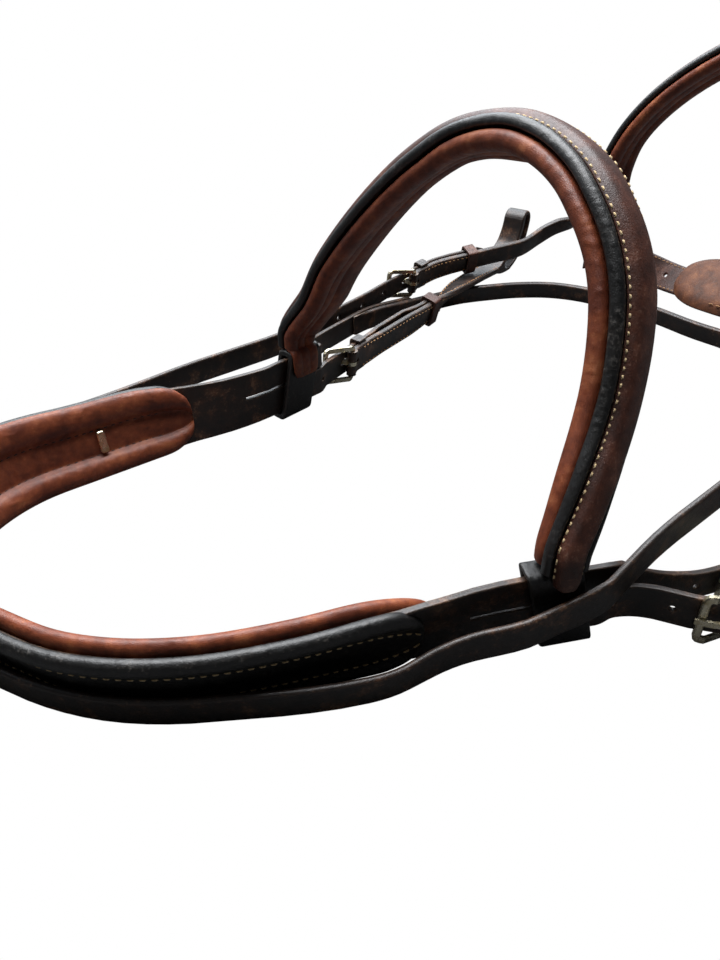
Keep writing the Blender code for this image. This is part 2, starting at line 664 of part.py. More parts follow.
def tidy(work):
    bmesh.ops.remove_doubles(work, verts=work.verts, dist=WELD)
    bmesh.ops.triangulate(work, faces=[f for f in work.faces if len(f.verts) > 4])
    bmesh.ops.recalc_face_normals(work, faces=work.faces)


def loft(rings, section):
    """A closed body through rings of places. Its sides split as split_quads splits them."""
    sums = [y + z for y, z in section]
    rising = [sums[(i + 1) % len(sums)] > sums[i] for i in range(len(sums))]
    work = bmesh.new()
    made = [[work.verts.new(p) for p in ring] for ring in rings]
    for a, b in zip(made, made[1:]):
        for i in range(len(a)):
            j = (i + 1) % len(a)
            if rising[i]:
                work.faces.new((a[i], a[j], b[j]))
                work.faces.new((a[i], b[j], b[i]))
            else:
                work.faces.new((a[i], a[j], b[i]))
                work.faces.new((a[j], b[j], b[i]))
    work.faces.new(made[0])
    work.faces.new(made[-1])
    tidy(work)
    mesh = bpy.data.meshes.new("loft")
    work.to_mesh(mesh)
    work.free()
    return mesh


def rounded(x0, x1, y0, y1, radius, steps=3):
    """A rectangle with rounded corners, anticlockwise."""
    points = []
    for cx, cy, first in ((x1, y1, 0), (x0, y1, 90), (x0, y0, 180), (x1, y0, 270)):
        ox = cx - radius if cx == x1 else cx + radius
        oy = cy - radius if cy == y1 else cy + radius
        for k in range(steps + 1):
            a = math.radians(first + 90 * k / steps)
            points.append((ox + radius * math.cos(a), oy + radius * math.sin(a)))
    return points


def circle(x, y, rx, ry=None, steps=10):
    ry = rx if ry is None else ry
    turns = [2 * math.pi * k / steps for k in range(steps)]
    return [(x + rx * math.cos(a), y + ry * math.sin(a)) for a in turns]


def pointed(x0, x1, half, tip):
    """The outline of a strap end: square at x0, brought to a blunt point at x1."""
    way = 1 if x1 > x0 else -1
    return [
        (x0, -half),
        (x1 - way * tip, -half),
        (x1 - way * tip * TIP_SHARE, -half * TIP_WIDTH_SHARE),
        (x1, -half * TIP_FLAT_SHARE),
        (x1, half * TIP_FLAT_SHARE),
        (x1 - way * tip * TIP_SHARE, half * TIP_WIDTH_SHARE),
        (x1 - way * tip, half),
        (x0, half),
    ]

# Materials

COLOURS = {
    "black_leather": (0.035, 0.030, 0.028),
    "brown_leather": (0.070, 0.038, 0.028),
    "tan_leather": (0.240, 0.085, 0.045),
    "nickel": (0.640, 0.600, 0.500),
}
MATERIALS = {}
for slot, colour in COLOURS.items():
    material = bpy.data.materials.new(slot)
    material.use_nodes = True
    shader = material.node_tree.nodes["Principled BSDF"]
    shader.inputs["Base Color"].default_value = (*colour, 1)
    shader.inputs["Metallic"].default_value = 1.0 if slot == "nickel" else 0.0
    shader.inputs["Roughness"].default_value = 0.28 if slot == "nickel" else 0.5
    MATERIALS[slot] = material

# The headpiece and its four billets

TAIL_WIDTH = CHEEK_BILLET + SLIT + THROAT_BILLET
TAIL_LOW = -TAIL_WIDTH / 2
SLIT_LOW = TAIL_LOW + CHEEK_BILLET
SLIT_HIGH = SLIT_LOW + SLIT
SLIT_MID = (SLIT_LOW + SLIT_HIGH) / 2
CHEEK_MID = TAIL_LOW + CHEEK_BILLET / 2
THROAT_MID = SLIT_HIGH + THROAT_BILLET / 2

crown = standing(CROWN_SHARES)
FAR_LOOP, PAD_FAR, PAD_NEAR, NEAR_LOOP = (crown.knots[k] for k in (2, 6, 23, 27))
for middle in (FAR_LOOP, NEAR_LOOP):
    crown.straight(middle - LOOP_WIDTH / 2 - LOOP_PLAY, middle + LOOP_WIDTH / 2 + LOOP_PLAY)
crown.also(tip_places(PAD_FAR, PAD_NEAR, PAD_TIP))
FAR_PART = FAR_LOOP - SPLIT
NEAR_PART = NEAR_LOOP + SPLIT


def crown_width(s):
    return np.interp(s, crown.knots, np.array(CROWN_WIDTH_SHARES) * CROWN_WIDTH) / TAIL_WIDTH


def joined(rows, far=None, near=None):
    """A route through rows that leaves the headpiece's line at a billet of height far or near across it."""
    rows = np.array(rows, float)
    places = list(rows[:, :3] * LAY_LENGTH)
    widths = list(rows[:, 3:6])
    if near is not None:
        for back_share in (0, 0.5, 1):
            s = NEAR_PART - back_share * BLEND
            places.insert(0, crown.at(s, near, 0.0))
            widths.insert(0, crown.frame(s)[2])
    if far is not None:
        for back_share in (0, 0.5, 1):
            s = FAR_PART + back_share * BLEND
            places.append(crown.at(s, far, 0.0))
            widths.append(crown.frame(s)[2])
    return Route(places, widths)


far_cheek = joined(FAR_CHEEK_SHARES, far=CHEEK_MID)
near_cheek = joined(NEAR_CHEEK_SHARES, near=CHEEK_MID)
throat = joined(THROAT_SHARES, far=THROAT_MID, near=THROAT_MID)
sliphead = standing(SLIPHEAD_SHARES)
browband = directed(BROWBAND_SHARES)
noseband = directed(NOSEBAND_SHARES)
chin = directed(CHIN_SHARES)

# Where each buckle's hinge bar sits along its route
FAR_CHEEK_HINGE = far_cheek.knots[11] + HINGE_SHIFT
NEAR_CHEEK_HINGE = near_cheek.knots[8]
THROAT_HINGE = throat.knots[7]
THROAT_LAP = throat.knots[29]
SLIP_HINGE = (sliphead.knots[10] + sliphead.knots[11]) / 2 + HINGE_SHIFT
CHIN_HINGE = chin.knots[8]
# Each row: a route, its hinge, the way its chape runs, its width, its keeper and its runner
BUCKLES = {
    "cheek_far": (far_cheek, FAR_CHEEK_HINGE, -1, CHEEK_WIDTH, KEEPER_AT, CHEEK_RUNNER_AT),
    "cheek_near": (near_cheek, NEAR_CHEEK_HINGE, 1, CHEEK_WIDTH, KEEPER_AT, CHEEK_RUNNER_AT),
    "throatlatch": (throat, THROAT_HINGE, 1, THROAT_WIDTH, KEEPER_AT, THROAT_RUNNER_AT),
    "sliphead": (sliphead, SLIP_HINGE, -1, SLIP_WIDTH, KEEPER_AT, SLIP_RUNNER_AT),
    "chin": (chin, CHIN_HINGE, -1, CHIN_WIDTH, KEEPER_AT, 0.0),
}
# How far each billet runs past its hinge bar
PAST = {
    "cheek_far": PAST_HINGE,
    "cheek_near": PAST_HINGE,
    "throatlatch": PAST_THROAT,
    "sliphead": PAST_SLIP,
    "chin": CHIN_TAIL,
}
for name, (route, hinge, way, _, keeper_at, runner_at) in BUCKLES.items():
    ends = (hinge - way * (FRAME_LONG + BAR_WIDE), hinge + way * (keeper_at + KEEPER_LONG))
    route.straight(min(ends), max(ends))
    if runner_at:
        at = hinge + way * runner_at
        reach = KEEPER_LONG / 2 + KEEPER_PLAY + RUNNER_TRAVEL
        route.straight(at - reach, at + reach)
    tip = hinge + way * PAST[name]
    route.straight(*sorted((tip + way * STATION_SHORT, tip - way * (TIP_LONG + STATION_SHORT))))
for route, start, strip in ((browband, PAD_FOOT, -RAISE_PAST), (noseband, NOSE_PAD_FOOT, NOSE_RAISE_IN)):
    route.also(tip_places(start, route.long - start, BAND_PAD_TIP))
    route.also(tip_places(strip, route.long - strip, RAISE_TIP))



def bow(s, z):
    """The far cheek billet bows out between its keeper and its runner."""
    low = FAR_CHEEK_HINGE - CHEEK_RUNNER_AT + KEEPER_LONG
    high = FAR_CHEEK_HINGE - KEEPER_AT - KEEPER_LONG
    share = np.clip((s - low) / (high - low), 0, 1)
    return z + BILLET_BOW * np.sin(math.pi * share) ** 2


def eased(share):
    share = np.clip(share, 0, 1)
    return share * share * (3 - 2 * share)


def billet_split(s, y, z, placed):
    """Moves the four billets off the headpiece's line, each onto its own route."""
    out = placed.copy()
    shares = (
        (y < SLIT_MID, CHEEK_MID, far_cheek, near_cheek),
        (y > SLIT_MID, THROAT_MID, throat, throat),
    )
    for chosen, mid, far_route, near_route in shares:
        far_s = far_route.long - (FAR_PART + BLEND - s)
        far_b = eased((FAR_PART + BLEND - s) / BLEND)[:, None]
        near_s = s - (NEAR_PART - BLEND)
        near_b = eased((s - NEAR_PART + BLEND) / BLEND)[:, None]
        far_place = far_route.at(far_s, y - mid, bow(far_s, z) if far_route is far_cheek else z)
        near_place = near_route.at(near_s, y - mid, z)
        far_on = chosen & (s < FAR_PART + BLEND)
        near_on = chosen & (s > NEAR_PART - BLEND)
        out[far_on] = ((1 - far_b) * placed + far_b * far_place)[far_on]
        out[near_on] = ((1 - near_b) * placed + near_b * near_place)[near_on]
    return out


def billet_holes(hinge_x, way, mid, before=2, after=2):
    """Punched holes about a buckle: a long one for its tongue and round ones either side."""
    holes = [circle(hinge_x + way * TONGUE_HOLE_MID, mid, TONGUE_HOLE_LONG, HOLE_RADIUS)]
    for k in list(range(-before, 0)) + list(range(1, after + 1)):
        holes.append(circle(hinge_x + way * (TONGUE_HOLE_MID + k * HOLE_PITCH), mid, HOLE_RADIUS, steps=8))
    return holes


def crown_x(route_s, route, near):
    """The flat headpiece's X at a place along one of its billets' routes."""
    if near:
        return route_s + NEAR_PART - BLEND
    return FAR_PART + BLEND - (route.long - route_s)


def build_crown():
    far_cheek_x = crown_x(FAR_CHEEK_HINGE, far_cheek, False)
    near_cheek_x = crown_x(NEAR_CHEEK_HINGE, near_cheek, True)
    far_throat_x = crown_x(THROAT_LAP, throat, False)
    near_throat_x = crown_x(THROAT_HINGE, throat, True)
    lower_near = pointed(NEAR_LOOP, near_cheek_x + PAST_HINGE, CHEEK_BILLET / 2, TIP_LONG)
    upper_near = pointed(NEAR_LOOP, near_throat_x + PAST_THROAT, THROAT_BILLET / 2, TIP_LONG)
    upper_far = pointed(FAR_LOOP, far_throat_x - LAP_LONG, THROAT_BILLET / 2, TIP_LONG)
    lower_far = pointed(FAR_LOOP, far_cheek_x - PAST_HINGE, CHEEK_BILLET / 2, TIP_LONG)
    outline = [(x, y + CHEEK_MID) for x, y in lower_near[1:-1]]
    outline += [(NEAR_LOOP - SLIT_RUN, SLIT_LOW), (NEAR_LOOP - SLIT_RUN, SLIT_HIGH)]
    outline += [(x, y + THROAT_MID) for x, y in upper_near[1:-1]]
    outline += [(x, y + THROAT_MID) for x, y in upper_far[1:-1][::-1]]
    outline += [(FAR_LOOP + SLIT_RUN, SLIT_HIGH), (FAR_LOOP + SLIT_RUN, SLIT_LOW)]
    outline += [(x, y + CHEEK_MID) for x, y in lower_far[1:-1][::-1]]
    outline[len(lower_near) - 3] = (near_cheek_x + PAST_HINGE - TIP_LONG, SLIT_LOW)
    holes = billet_holes(near_cheek_x, 1, CHEEK_MID)
    holes += billet_holes(far_cheek_x, -1, CHEEK_MID)
    holes += billet_holes(near_throat_x, 1, THROAT_MID, 1, 1)
    flat = cut_flat([outline] + holes, 0.0, CROWN_THICK)
    node("headpiece_crown", bend_headpiece(flat), "black_leather")


def bend_headpiece(flat):
    """The headpiece is cut across wherever the headpiece or one of its billets' routes turns."""
    work = bmesh.new()
    work.from_mesh(flat)
    xs = [v.co.x for v in work.verts]
    for s in crown.stations(FAR_PART + BLEND, NEAR_PART - BLEND):
        slice_across(work, s)
    for route, low, high in ((far_cheek, None, SLIT_MID), (throat, SLIT_MID, None)):
        start = route.long - (FAR_PART + BLEND - min(xs))
        for s in route.stations(start, route.long)[1:-1]:
            slice_across(work, crown_x(s, route, False), low, high)
    for route, low, high in ((near_cheek, None, SLIT_MID), (throat, SLIT_MID, None)):
        for s in route.stations(0.0, max(xs) - (NEAR_PART - BLEND))[1:-1]:
            slice_across(work, crown_x(s, route, True), low, high)
    split_quads(work)
    co = np.array([v.co for v in work.verts])
    on_head = (co[:, 0] > FAR_PART) & (co[:, 0] < NEAR_PART)
    y = co[:, 1] * np.where(on_head, crown_width(co[:, 0]), 1.0)
    return moved(work, billet_split(co[:, 0], y, co[:, 2], crown.at(co[:, 0], y, co[:, 2])))


# Padded work: sections across the strap, as shares of the half width and of the thickness

PAD_SECTION_SHARES = (
    (-0.93, 0.0), (0.93, 0.0), (1.0, 0.40), (0.90, 0.84), (0.68, 1.0), (0.46, 0.86), (0.36, 0.42),
    (0.0, 0.50),
    (-0.36, 0.42), (-0.46, 0.86), (-0.68, 1.0), (-0.90, 0.84), (-1.0, 0.40),
)
FACING_SECTION_SHARES = (
    (-0.96, 0.0), (0.96, 0.0), (1.0, 0.5), (0.94, 0.92), (0.84, 1.0), (0.74, 0.80), (0.68, 0.42),
    (-0.68, 0.42), (-0.74, 0.80), (-0.84, 1.0), (-0.94, 0.92), (-1.0, 0.5),
)
BASE_SECTION_SHARES = (
    (-0.95, 0.0), (0.95, 0.0), (1.0, 0.25), (1.0, 0.75), (0.95, 1.0), (RAISE_SHARE, 1.0), (-RAISE_SHARE, 1.0),
    (-0.95, 1.0), (-1.0, 0.75), (-1.0, 0.25),
)
RAISE_SECTION_SHARES = (
    (-1.0, 0.0), (1.0, 0.0), (0.97, 0.40), (0.80, 0.80), (0.40, 1.0),
    (-0.40, 1.0), (-0.80, 0.80), (-0.97, 0.40),
)


def padded_band(name, slot, route, start, end, half, base, thick, section, tip, end_share=END_SHARE):
    """A padded piece along a route, drawn in at its ends, with thick signed along N."""
    ends = tip_places(start, end, tip)
    inside = [s for s in route.stations(start, end) if min(abs(s - other) for other in ends) > STATION_SHORT]
    s_list = sorted(ends + inside)
    rings = []
    for s in s_list:
        near_end = min(s - start, end - s) / tip
        round_share = math.sqrt(1 - (1 - min(near_end, 1)) ** 2)
        full = end_share + (1 - end_share) * round_share
        y = np.array([p[0] for p in section]) * half(s) * full
        z = base + np.array([p[1] for p in section]) * thick * (end_share + (1 - end_share) * full)
        rings.append(route.at(np.full(len(section), s), y, z))
    return node(name, loft(rings, section), slot)


def head_half(s):
    return crown_width(s) * TAIL_WIDTH / 2


def build_headpiece_padding():
    padded_band(
        "headpiece_pad", "tan_leather", crown, PAD_FAR, PAD_NEAR, head_half, -GAP, -CROWN_PAD_THICK,
        PAD_SECTION_SHARES, PAD_TIP,
    )
    padded_band(
        "headpiece_facing", "black_leather", crown, PAD_FAR, PAD_NEAR, head_half,
        CROWN_THICK + GAP, FACING_THICK, FACING_SECTION_SHARES, PAD_TIP, POINT_SHARE,
    )


def build_staples():
    """A small flat steel bar sunk in the pad's channel near each end."""
    for side, s in (("far", PAD_FAR + STAPLE_IN), ("near", PAD_NEAR - STAPLE_IN)):
        face = -GAP - CROWN_PAD_THICK / 2 - GAP
        wide, long = STAPLE_WIDE / 2, STAPLE_LONG / 2
        outline = rounded(-wide, wide, -long, long, STAPLE_WIDE / 3)
        mesh = cut_flat([outline], face - STAPLE_THICK, face, STAPLE_THICK / 4)
        mesh.transform(crown.matrix(s))
        node("headpiece_staple_" + side, mesh, "nickel")


# Bands with a raised facing


def band_width(route, full, foot_share=BAND_FOOT_SHARE):
    def width(s):
        end = np.clip(np.minimum(s, route.long - s) / (route.long * BAND_TAPER_SHARE), 0, 1)
        return full * (foot_share + (1 - foot_share) * eased(end))

    return width


def part_of(width, share):
    """Half of a share of a width that varies."""

    def half(s):
        return width(s) * share / 2

    return half


def build_band(prefix, route, full, foot_share, foot, raise_in):
    """A band on edge: its base, the raised strip on its outer face, and the pad inside it."""
    width = band_width(route, full, foot_share)
    route_places = route.stations(0.0, route.long)
    rings = []
    for s in route_places:
        y = np.array([p[0] for p in BASE_SECTION_SHARES]) * width(s) / 2
        z = np.array([p[1] for p in BASE_SECTION_SHARES]) * BAND_THICK
        rings.append(route.at(np.full(len(y), s), y, z))
    node(prefix + "_base", loft(rings, BASE_SECTION_SHARES), "black_leather")
    padded_band(
        prefix + "_facing", "brown_leather", route, raise_in, route.long - raise_in,
        part_of(width, RAISE_SHARE), BAND_THICK + GAP, RAISE_THICK, RAISE_SECTION_SHARES, RAISE_TIP,
    )
    padded_band(
        prefix + "_pad", "tan_leather", route, foot, route.long - foot, part_of(width, PAD_EDGE_SHARE),
        -GAP, -BAND_PAD_THICK, PAD_SECTION_SHARES, BAND_PAD_TIP, FOOT_FULL_SHARE,
    )


def build_loop(name, s):
    """A browband end: a flat loop of leather round both billets."""
    low = -TAIL_WIDTH / 2 - LOOP_PLAY / 2
    high = TAIL_WIDTH / 2 + LOOP_PLAY
    inside = -LOOP_PLAY
    outside = CROWN_THICK + LOOP_PLAY
    wall = LOOP_WALL
    inner = rounded(inside, outside, low, high, LOOP_PLAY / 2, 1)
    outer = rounded(inside - wall, outside + wall, low - wall, high + wall, wall, 3)
    mesh = cut_flat([outer, inner], -LOOP_WIDTH / 2, LOOP_WIDTH / 2, EDGE)
    # It is drawn across the strap: X out of the face, Y across the width, Z along the strap.
    mesh.transform(Matrix(((0, 0, 1, 0), (0, 1, 0, 0), (1, 0, 0, 0), (0, 0, 0, 1))))
    mesh.flip_normals()
    lean = Matrix.Identity(4)
    lean[0][1] = -LOOP_LEAN_SHARE
    mesh.transform(crown.matrix(s) @ lean)
    node(name, mesh, "black_leather")


# Straps folded round a bar at an end, drawn from the side

FRONT_MID = BILLET_THICK + FRONT_LIFT + BAR_THICK / 2  # height of a front bar's middle
EYE_RADIUS = BAR_THICK / 2 + EYE_PLAY
EYE_MID = -PLY_GAP - EYE_RADIUS - EYE_WALL  # height of a hinge bar's middle off the billet's inner face


def fold_outline(long, thick, top):
    """Side view of a doubled strap from its fold at x = 0 to a plain end at x = long."""
    r = EYE_RADIUS + EYE_WALL
    turns = [math.radians(a) for a in range(90, 271, 30)]
    points = [(r * math.cos(a), EYE_MID + r * math.sin(a)) for a in turns]
    points += [(2 * r, top - thick), (long, top - thick), (long, top)]
    return points, circle(0.0, EYE_MID, EYE_RADIUS, steps=8)


def chape_mesh(long, width, bit_loop=False):
    outline, eye = fold_outline(long, CHAPE_THICK, -PLY_GAP)
    shapes = [outline, eye]
    if bit_loop:
        shapes = [bit_outline(long, outline), eye, bit_hole(long)]
    mesh = turned(cut_flat(shapes, -width / 2, width / 2))
    slot = TONGUE_WIDE / 2 + GAP * 2
    return cut_box(
        mesh,
        (
            (-EYE_RADIUS - EYE_WALL * 2, -slot, EYE_MID * 2),
            (EYE_RADIUS + EYE_WALL * 3, slot, EYE_RADIUS),
        ),
    )


def bit_outline(long, outline):
    """Swells the plain end of a folded strap into the loop that takes a bit ring."""
    mid = -PLY_GAP - CHAPE_THICK / 2
    half = BIT_HIGH / 2 + BIT_WALL
    start = long - BIT_LONG - 2 * BIT_WALL
    turns = [math.radians(a) for a in range(-90, 91, 30)]
    lower = [(start - half, -PLY_GAP - CHAPE_THICK), (start + half, mid - half)]
    end = [(long - half + half * math.cos(a), mid + half * math.sin(a)) for a in turns]
    upper = [(start + half, mid + half), (start - half, -PLY_GAP)]
    return outline[:-2] + lower + end + upper


def bit_hole(long):
    mid = -PLY_GAP - CHAPE_THICK / 2
    start = long - BIT_LONG - 2 * BIT_WALL
    high = BIT_HIGH / 2
    return rounded(start + BIT_WALL, long - BIT_WALL, mid - high, mid + high, BIT_HIGH / 3, 2)


def frame_mesh(width):
    """A flat buckle frame, bent so that its front bar clears the billet. Its hinge bar lies in the fold."""
    half_in = width / 2 + KEEPER_PLAY + GAP
    half_out = half_in + BAR_WIDE
    bar = BAR_THICK / 2
    outer = rounded(-FRAME_LONG - BAR_WIDE / 2, bar, -half_out, half_out, BAR_WIDE, 3)
    inner = rounded(-FRAME_LONG + BAR_WIDE / 2, -bar, -half_in, half_in, KEEPER_PLAY, 1)
    mesh = cut_flat([outer, inner], -bar, bar, BAR_BEVEL)
    work = bmesh.new()
    work.from_mesh(mesh)
    rise_from = -BAR_WIDE * 0.8
    rise_to = -FRAME_LONG + BAR_WIDE
    for x in (rise_from, (rise_from + rise_to) / 2, rise_to):
        bmesh.ops.bisect_plane(
            work,
            geom=work.verts[:] + work.edges[:] + work.faces[:],
            dist=ON_PLANE,
            plane_co=(x, 0, 0),
            plane_no=(1, 0, 0),
        )
    for vert in work.verts:
        share = min(1.0, max(0.0, (rise_from - vert.co.x) / (rise_from - rise_to)))
        vert.co.z += EYE_MID + share * (FRONT_MID - EYE_MID)
    tidy(work)
    work.to_mesh(mesh)
    work.free()
    return mesh


def tongue_mesh():
    """A tongue from the side: an eye round the hinge bar and an arm up and over the front bar."""
    hole = BAR_THICK / 2 + EYE_PLAY
    r = hole + TONGUE_THICK
    over = FRONT_MID + BAR_THICK / 2 + GAP
    arm_top = over + TONGUE_THICK
    step = TONGUE_THICK
    left = [
        (-r * 0.96, EYE_MID + r * 0.55),
        (-TONGUE_REACH - step, over - step * TONGUE_DIP_SHARE),
        (-FRAME_LONG + BAR_WIDE, over),
        (-FRAME_LONG - BAR_WIDE * 0.9, over),
        (-FRAME_LONG - BAR_WIDE * 0.9, over + step * 0.5),
        (-FRAME_LONG + BAR_WIDE, arm_top),
        (-TONGUE_REACH, arm_top - step * TONGUE_DIP_SHARE),
        (-TONGUE_REACH + step * 1.2, over - step * 1.7),
    ]
    turns = [math.radians(d) for d in range(450, 130, -25)]
    base = [(r * math.cos(a), EYE_MID + r * math.sin(a)) for a in turns]
    outline = base + left
    eye = circle(0.0, EYE_MID, hole, steps=10)
    return turned(cut_flat([outline, eye], -TONGUE_WIDE / 2, TONGUE_WIDE / 2))


def saddle_mesh(width, base):
    """A sewn keeper: a bridge over the billet whose legs stand on the chape's edges."""
    side = width / 2 + KEEPER_PLAY
    top = BILLET_THICK + KEEPER_PLAY
    wall = KEEPER_WALL
    low = -side - wall
    outline = [(base, low), (top, low), (top + wall * 0.7, low + wall * 0.3), (top + wall, -side)]
    outline += [(z, -y) for z, y in outline[::-1]]
    outline += [(base, side), (top, side), (top, -side), (base, -side)]
    mesh = cut_flat([outline], -KEEPER_LONG / 2, KEEPER_LONG / 2)
    mesh.transform(Matrix(((0, 0, 1, 0), (0, 1, 0, 0), (1, 0, 0, 0), (0, 0, 0, 1))))
    mesh.flip_normals()
    return mesh


def keeper_mesh(width, low, high, long=KEEPER_LONG, wall=KEEPER_WALL):
    """A band round a strap that clears the heights low and high off the billet's inner face."""
    low, high, half = low - KEEPER_PLAY, high + KEEPER_PLAY, width / 2 + KEEPER_PLAY
    inner = rounded(low, high, -half, half, wall / 3, 1)
    outer = rounded(low - wall, high + wall, -half - wall, half + wall, wall, 2)
    mesh = cut_flat([outer, inner], -long / 2, long / 2)
    mesh.transform(Matrix(((0, 0, 1, 0), (0, 1, 0, 0), (1, 0, 0, 0), (0, 0, 0, 1))))
    mesh.flip_normals()
    return mesh


def place(name, mesh, slot, route, s, way=1, origin=None):
    """Puts a rigid fitting on a route, with its origin on its own axis."""
    obj = node(name, mesh, slot)
    if origin is not None:
        mesh.transform(Matrix.Translation((-origin[0], -origin[1], -origin[2])))
        obj.matrix_world = route.matrix(s, way) @ Matrix.Translation(origin)
    else:
        obj.matrix_world = route.matrix(s, way)
    return obj


def buckle(prefix):
    """A frame, its tongue on the hinge bar, a sewn keeper and a free runner."""
    route, hinge, way, width, keeper_at, runner_at = BUCKLES[prefix]
    place(prefix + "_buckle", frame_mesh(width), "nickel", route, hinge, way)
    place(prefix + "_tongue", tongue_mesh(), "nickel", route, hinge, way, origin=(0.0, 0.0, EYE_MID))
    low = -PLY_GAP - CHAPE_THICK
    if keeper_at:
        band = saddle_mesh(width, -PLY_GAP - CHAPE_THICK / 2)
        place(prefix + "_keeper", band, "brown_leather", route, hinge + way * keeper_at, way)
    if runner_at:
        band = keeper_mesh(width, low, BILLET_THICK)
        place(prefix + "_runner", band, "brown_leather", route, hinge + way * runner_at, way)


def build_cheek(prefix, bit_end):
    route, hinge, way = BUCKLES[prefix][:3]
    mesh = bend(chape_mesh(abs(bit_end - hinge), CHEEK_WIDTH, True), route, hinge, way)
    node(prefix + "_strap", mesh, "black_leather")
    buckle(prefix)


def build_throat():
    """The throatlatch: folded round its hinge bar at the near side and sewn under its billet at the far."""
    long = THROAT_LAP + LAP_LONG * LAP_SHARE - THROAT_HINGE
    mesh = chape_mesh(long, THROAT_WIDTH)
    node("throatlatch_strap", bend(mesh, throat, THROAT_HINGE), "black_leather")
    buckle("throatlatch")


def build_sliphead():
    """A long strap with a billet at its far end, and the short hanger that carries its buckle."""
    start = SLIP_HINGE - PAST_SLIP
    tip = pointed(sliphead.long, start, SLIP_WIDTH / 2, TIP_LONG)
    holes = billet_holes(SLIP_HINGE, -1, 0.0, 3, 2)
    flat = cut_flat([tip] + holes, 0.0, BILLET_THICK)
    node("sliphead_strap", bend(flat, sliphead, 0.0), "black_leather")
    hanger = chape_mesh(SLIP_HINGE, SLIP_WIDTH)
    node("sliphead_hanger", bend(hanger, sliphead, SLIP_HINGE, -1), "black_leather")
    buckle("sliphead")


CHIN_PAD_ENDS = (CHIN_HINGE - CHIN_PAD_BACK, CHIN_HINGE + CHIN_PAD_PAST)


def chin_half(s):
    return np.interp(s, CHIN_PAD_ENDS, (1.0, CHIN_PAD_NARROW_SHARE)) * CHIN_PAD_WIDE / 2


def build_chin():
    """The strap that closes the noseband under the chin, its tab with the buckle, and its pad."""
    outline = pointed(chin.long, CHIN_HINGE - CHIN_TAIL, CHIN_WIDTH / 2, TIP_LONG)
    holes = [circle(CHIN_HINGE - TONGUE_HOLE_MID, 0.0, TONGUE_HOLE_LONG, HOLE_RADIUS)]
    holes += [circle(CHIN_HINGE + k * CHIN_PITCH, 0.0, HOLE_RADIUS, steps=8) for k in (1, 2, 3, 4)]
    flat = cut_flat([outline] + holes, 0.0, BILLET_THICK)
    node("chin_strap", bend(flat, chin, 0.0), "brown_leather")
    tab = chape_mesh(CHIN_HINGE, CHIN_WIDTH)
    node("chin_tab", bend(tab, chin, CHIN_HINGE, -1), "brown_leather")
    buckle("chin")
    padded_band(
        "chin_pad", "tan_leather", chin, *CHIN_PAD_ENDS, chin_half,
        EYE_MID - EYE_RADIUS - EYE_WALL - GAP, -CHIN_PAD_THICK, RAISE_SECTION_SHARES, CHIN_PAD_TIP,
    )


build_crown()
build_headpiece_padding()
build_staples()
build_band("browband", browband, BAND_WIDTH, BAND_FOOT_SHARE, PAD_FOOT, -RAISE_PAST)
build_loop("browband_loop_far", FAR_LOOP)
build_loop("browband_loop_near", NEAR_LOOP)
build_band("noseband", noseband, NOSE_WIDTH, NOSE_FOOT_SHARE, NOSE_PAD_FOOT, NOSE_RAISE_IN)
build_cheek("cheek_far", BIT_END_OUT)
build_cheek("cheek_near", near_cheek.long - BIT_END_OUT)
build_sliphead()
build_throat()
build_chin()
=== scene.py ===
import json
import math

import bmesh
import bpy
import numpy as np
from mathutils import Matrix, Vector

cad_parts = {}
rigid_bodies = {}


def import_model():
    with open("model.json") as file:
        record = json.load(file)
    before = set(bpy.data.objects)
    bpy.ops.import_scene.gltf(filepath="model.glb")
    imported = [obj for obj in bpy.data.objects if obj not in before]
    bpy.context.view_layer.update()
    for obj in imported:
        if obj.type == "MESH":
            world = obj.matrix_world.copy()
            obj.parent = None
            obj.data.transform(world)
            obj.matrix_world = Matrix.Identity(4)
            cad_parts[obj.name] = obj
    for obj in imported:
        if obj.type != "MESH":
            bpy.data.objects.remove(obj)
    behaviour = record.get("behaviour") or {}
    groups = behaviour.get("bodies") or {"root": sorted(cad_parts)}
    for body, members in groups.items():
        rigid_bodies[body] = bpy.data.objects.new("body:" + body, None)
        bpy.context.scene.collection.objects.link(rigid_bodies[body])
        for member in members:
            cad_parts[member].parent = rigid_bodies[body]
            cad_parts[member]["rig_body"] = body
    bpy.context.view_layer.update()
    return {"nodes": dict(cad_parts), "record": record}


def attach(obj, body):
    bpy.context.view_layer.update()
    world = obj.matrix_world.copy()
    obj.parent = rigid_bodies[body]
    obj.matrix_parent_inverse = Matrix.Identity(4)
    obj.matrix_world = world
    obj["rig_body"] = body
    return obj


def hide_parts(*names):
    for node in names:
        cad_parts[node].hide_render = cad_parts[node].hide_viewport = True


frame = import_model()

# %% [markdown]
# # A raised padded bridle, laid out on a table
#
# A bridle is strap work: bands of leather that are cut from a hide, edged, punched, folded round their
# buckles and sewn. On this one the headpiece, the browband and the noseband are raised and padded, so each
# is three layers deep.
#
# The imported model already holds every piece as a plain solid, on the body that it moves with. This lesson
# makes each of them again as leather work. The solids could be sculpted instead, but a strap that is cut
# flat and then bent keeps its true length, its even thickness and its punched holes, as a saddler's does.
# All lengths are in metres.

# %% [markdown]
# ## The lines that the straps follow
#
# Each strap lies along a line on the table. A curve object with a bevel would draw one quickly, but its
# twist is hard to steer, and a strap on edge has to lean as the real one leans. So each line is a table of
# places, as shares of the layout's length. A row ends with the lean of a strap on edge, in degrees, or with
# the direction of the strap's width.
#
# The headpiece comes first. It runs from the far loop of the browband round the poll to the near loop, and
# it is widest at the poll, so it has a list of widths as well, as shares of its full width.

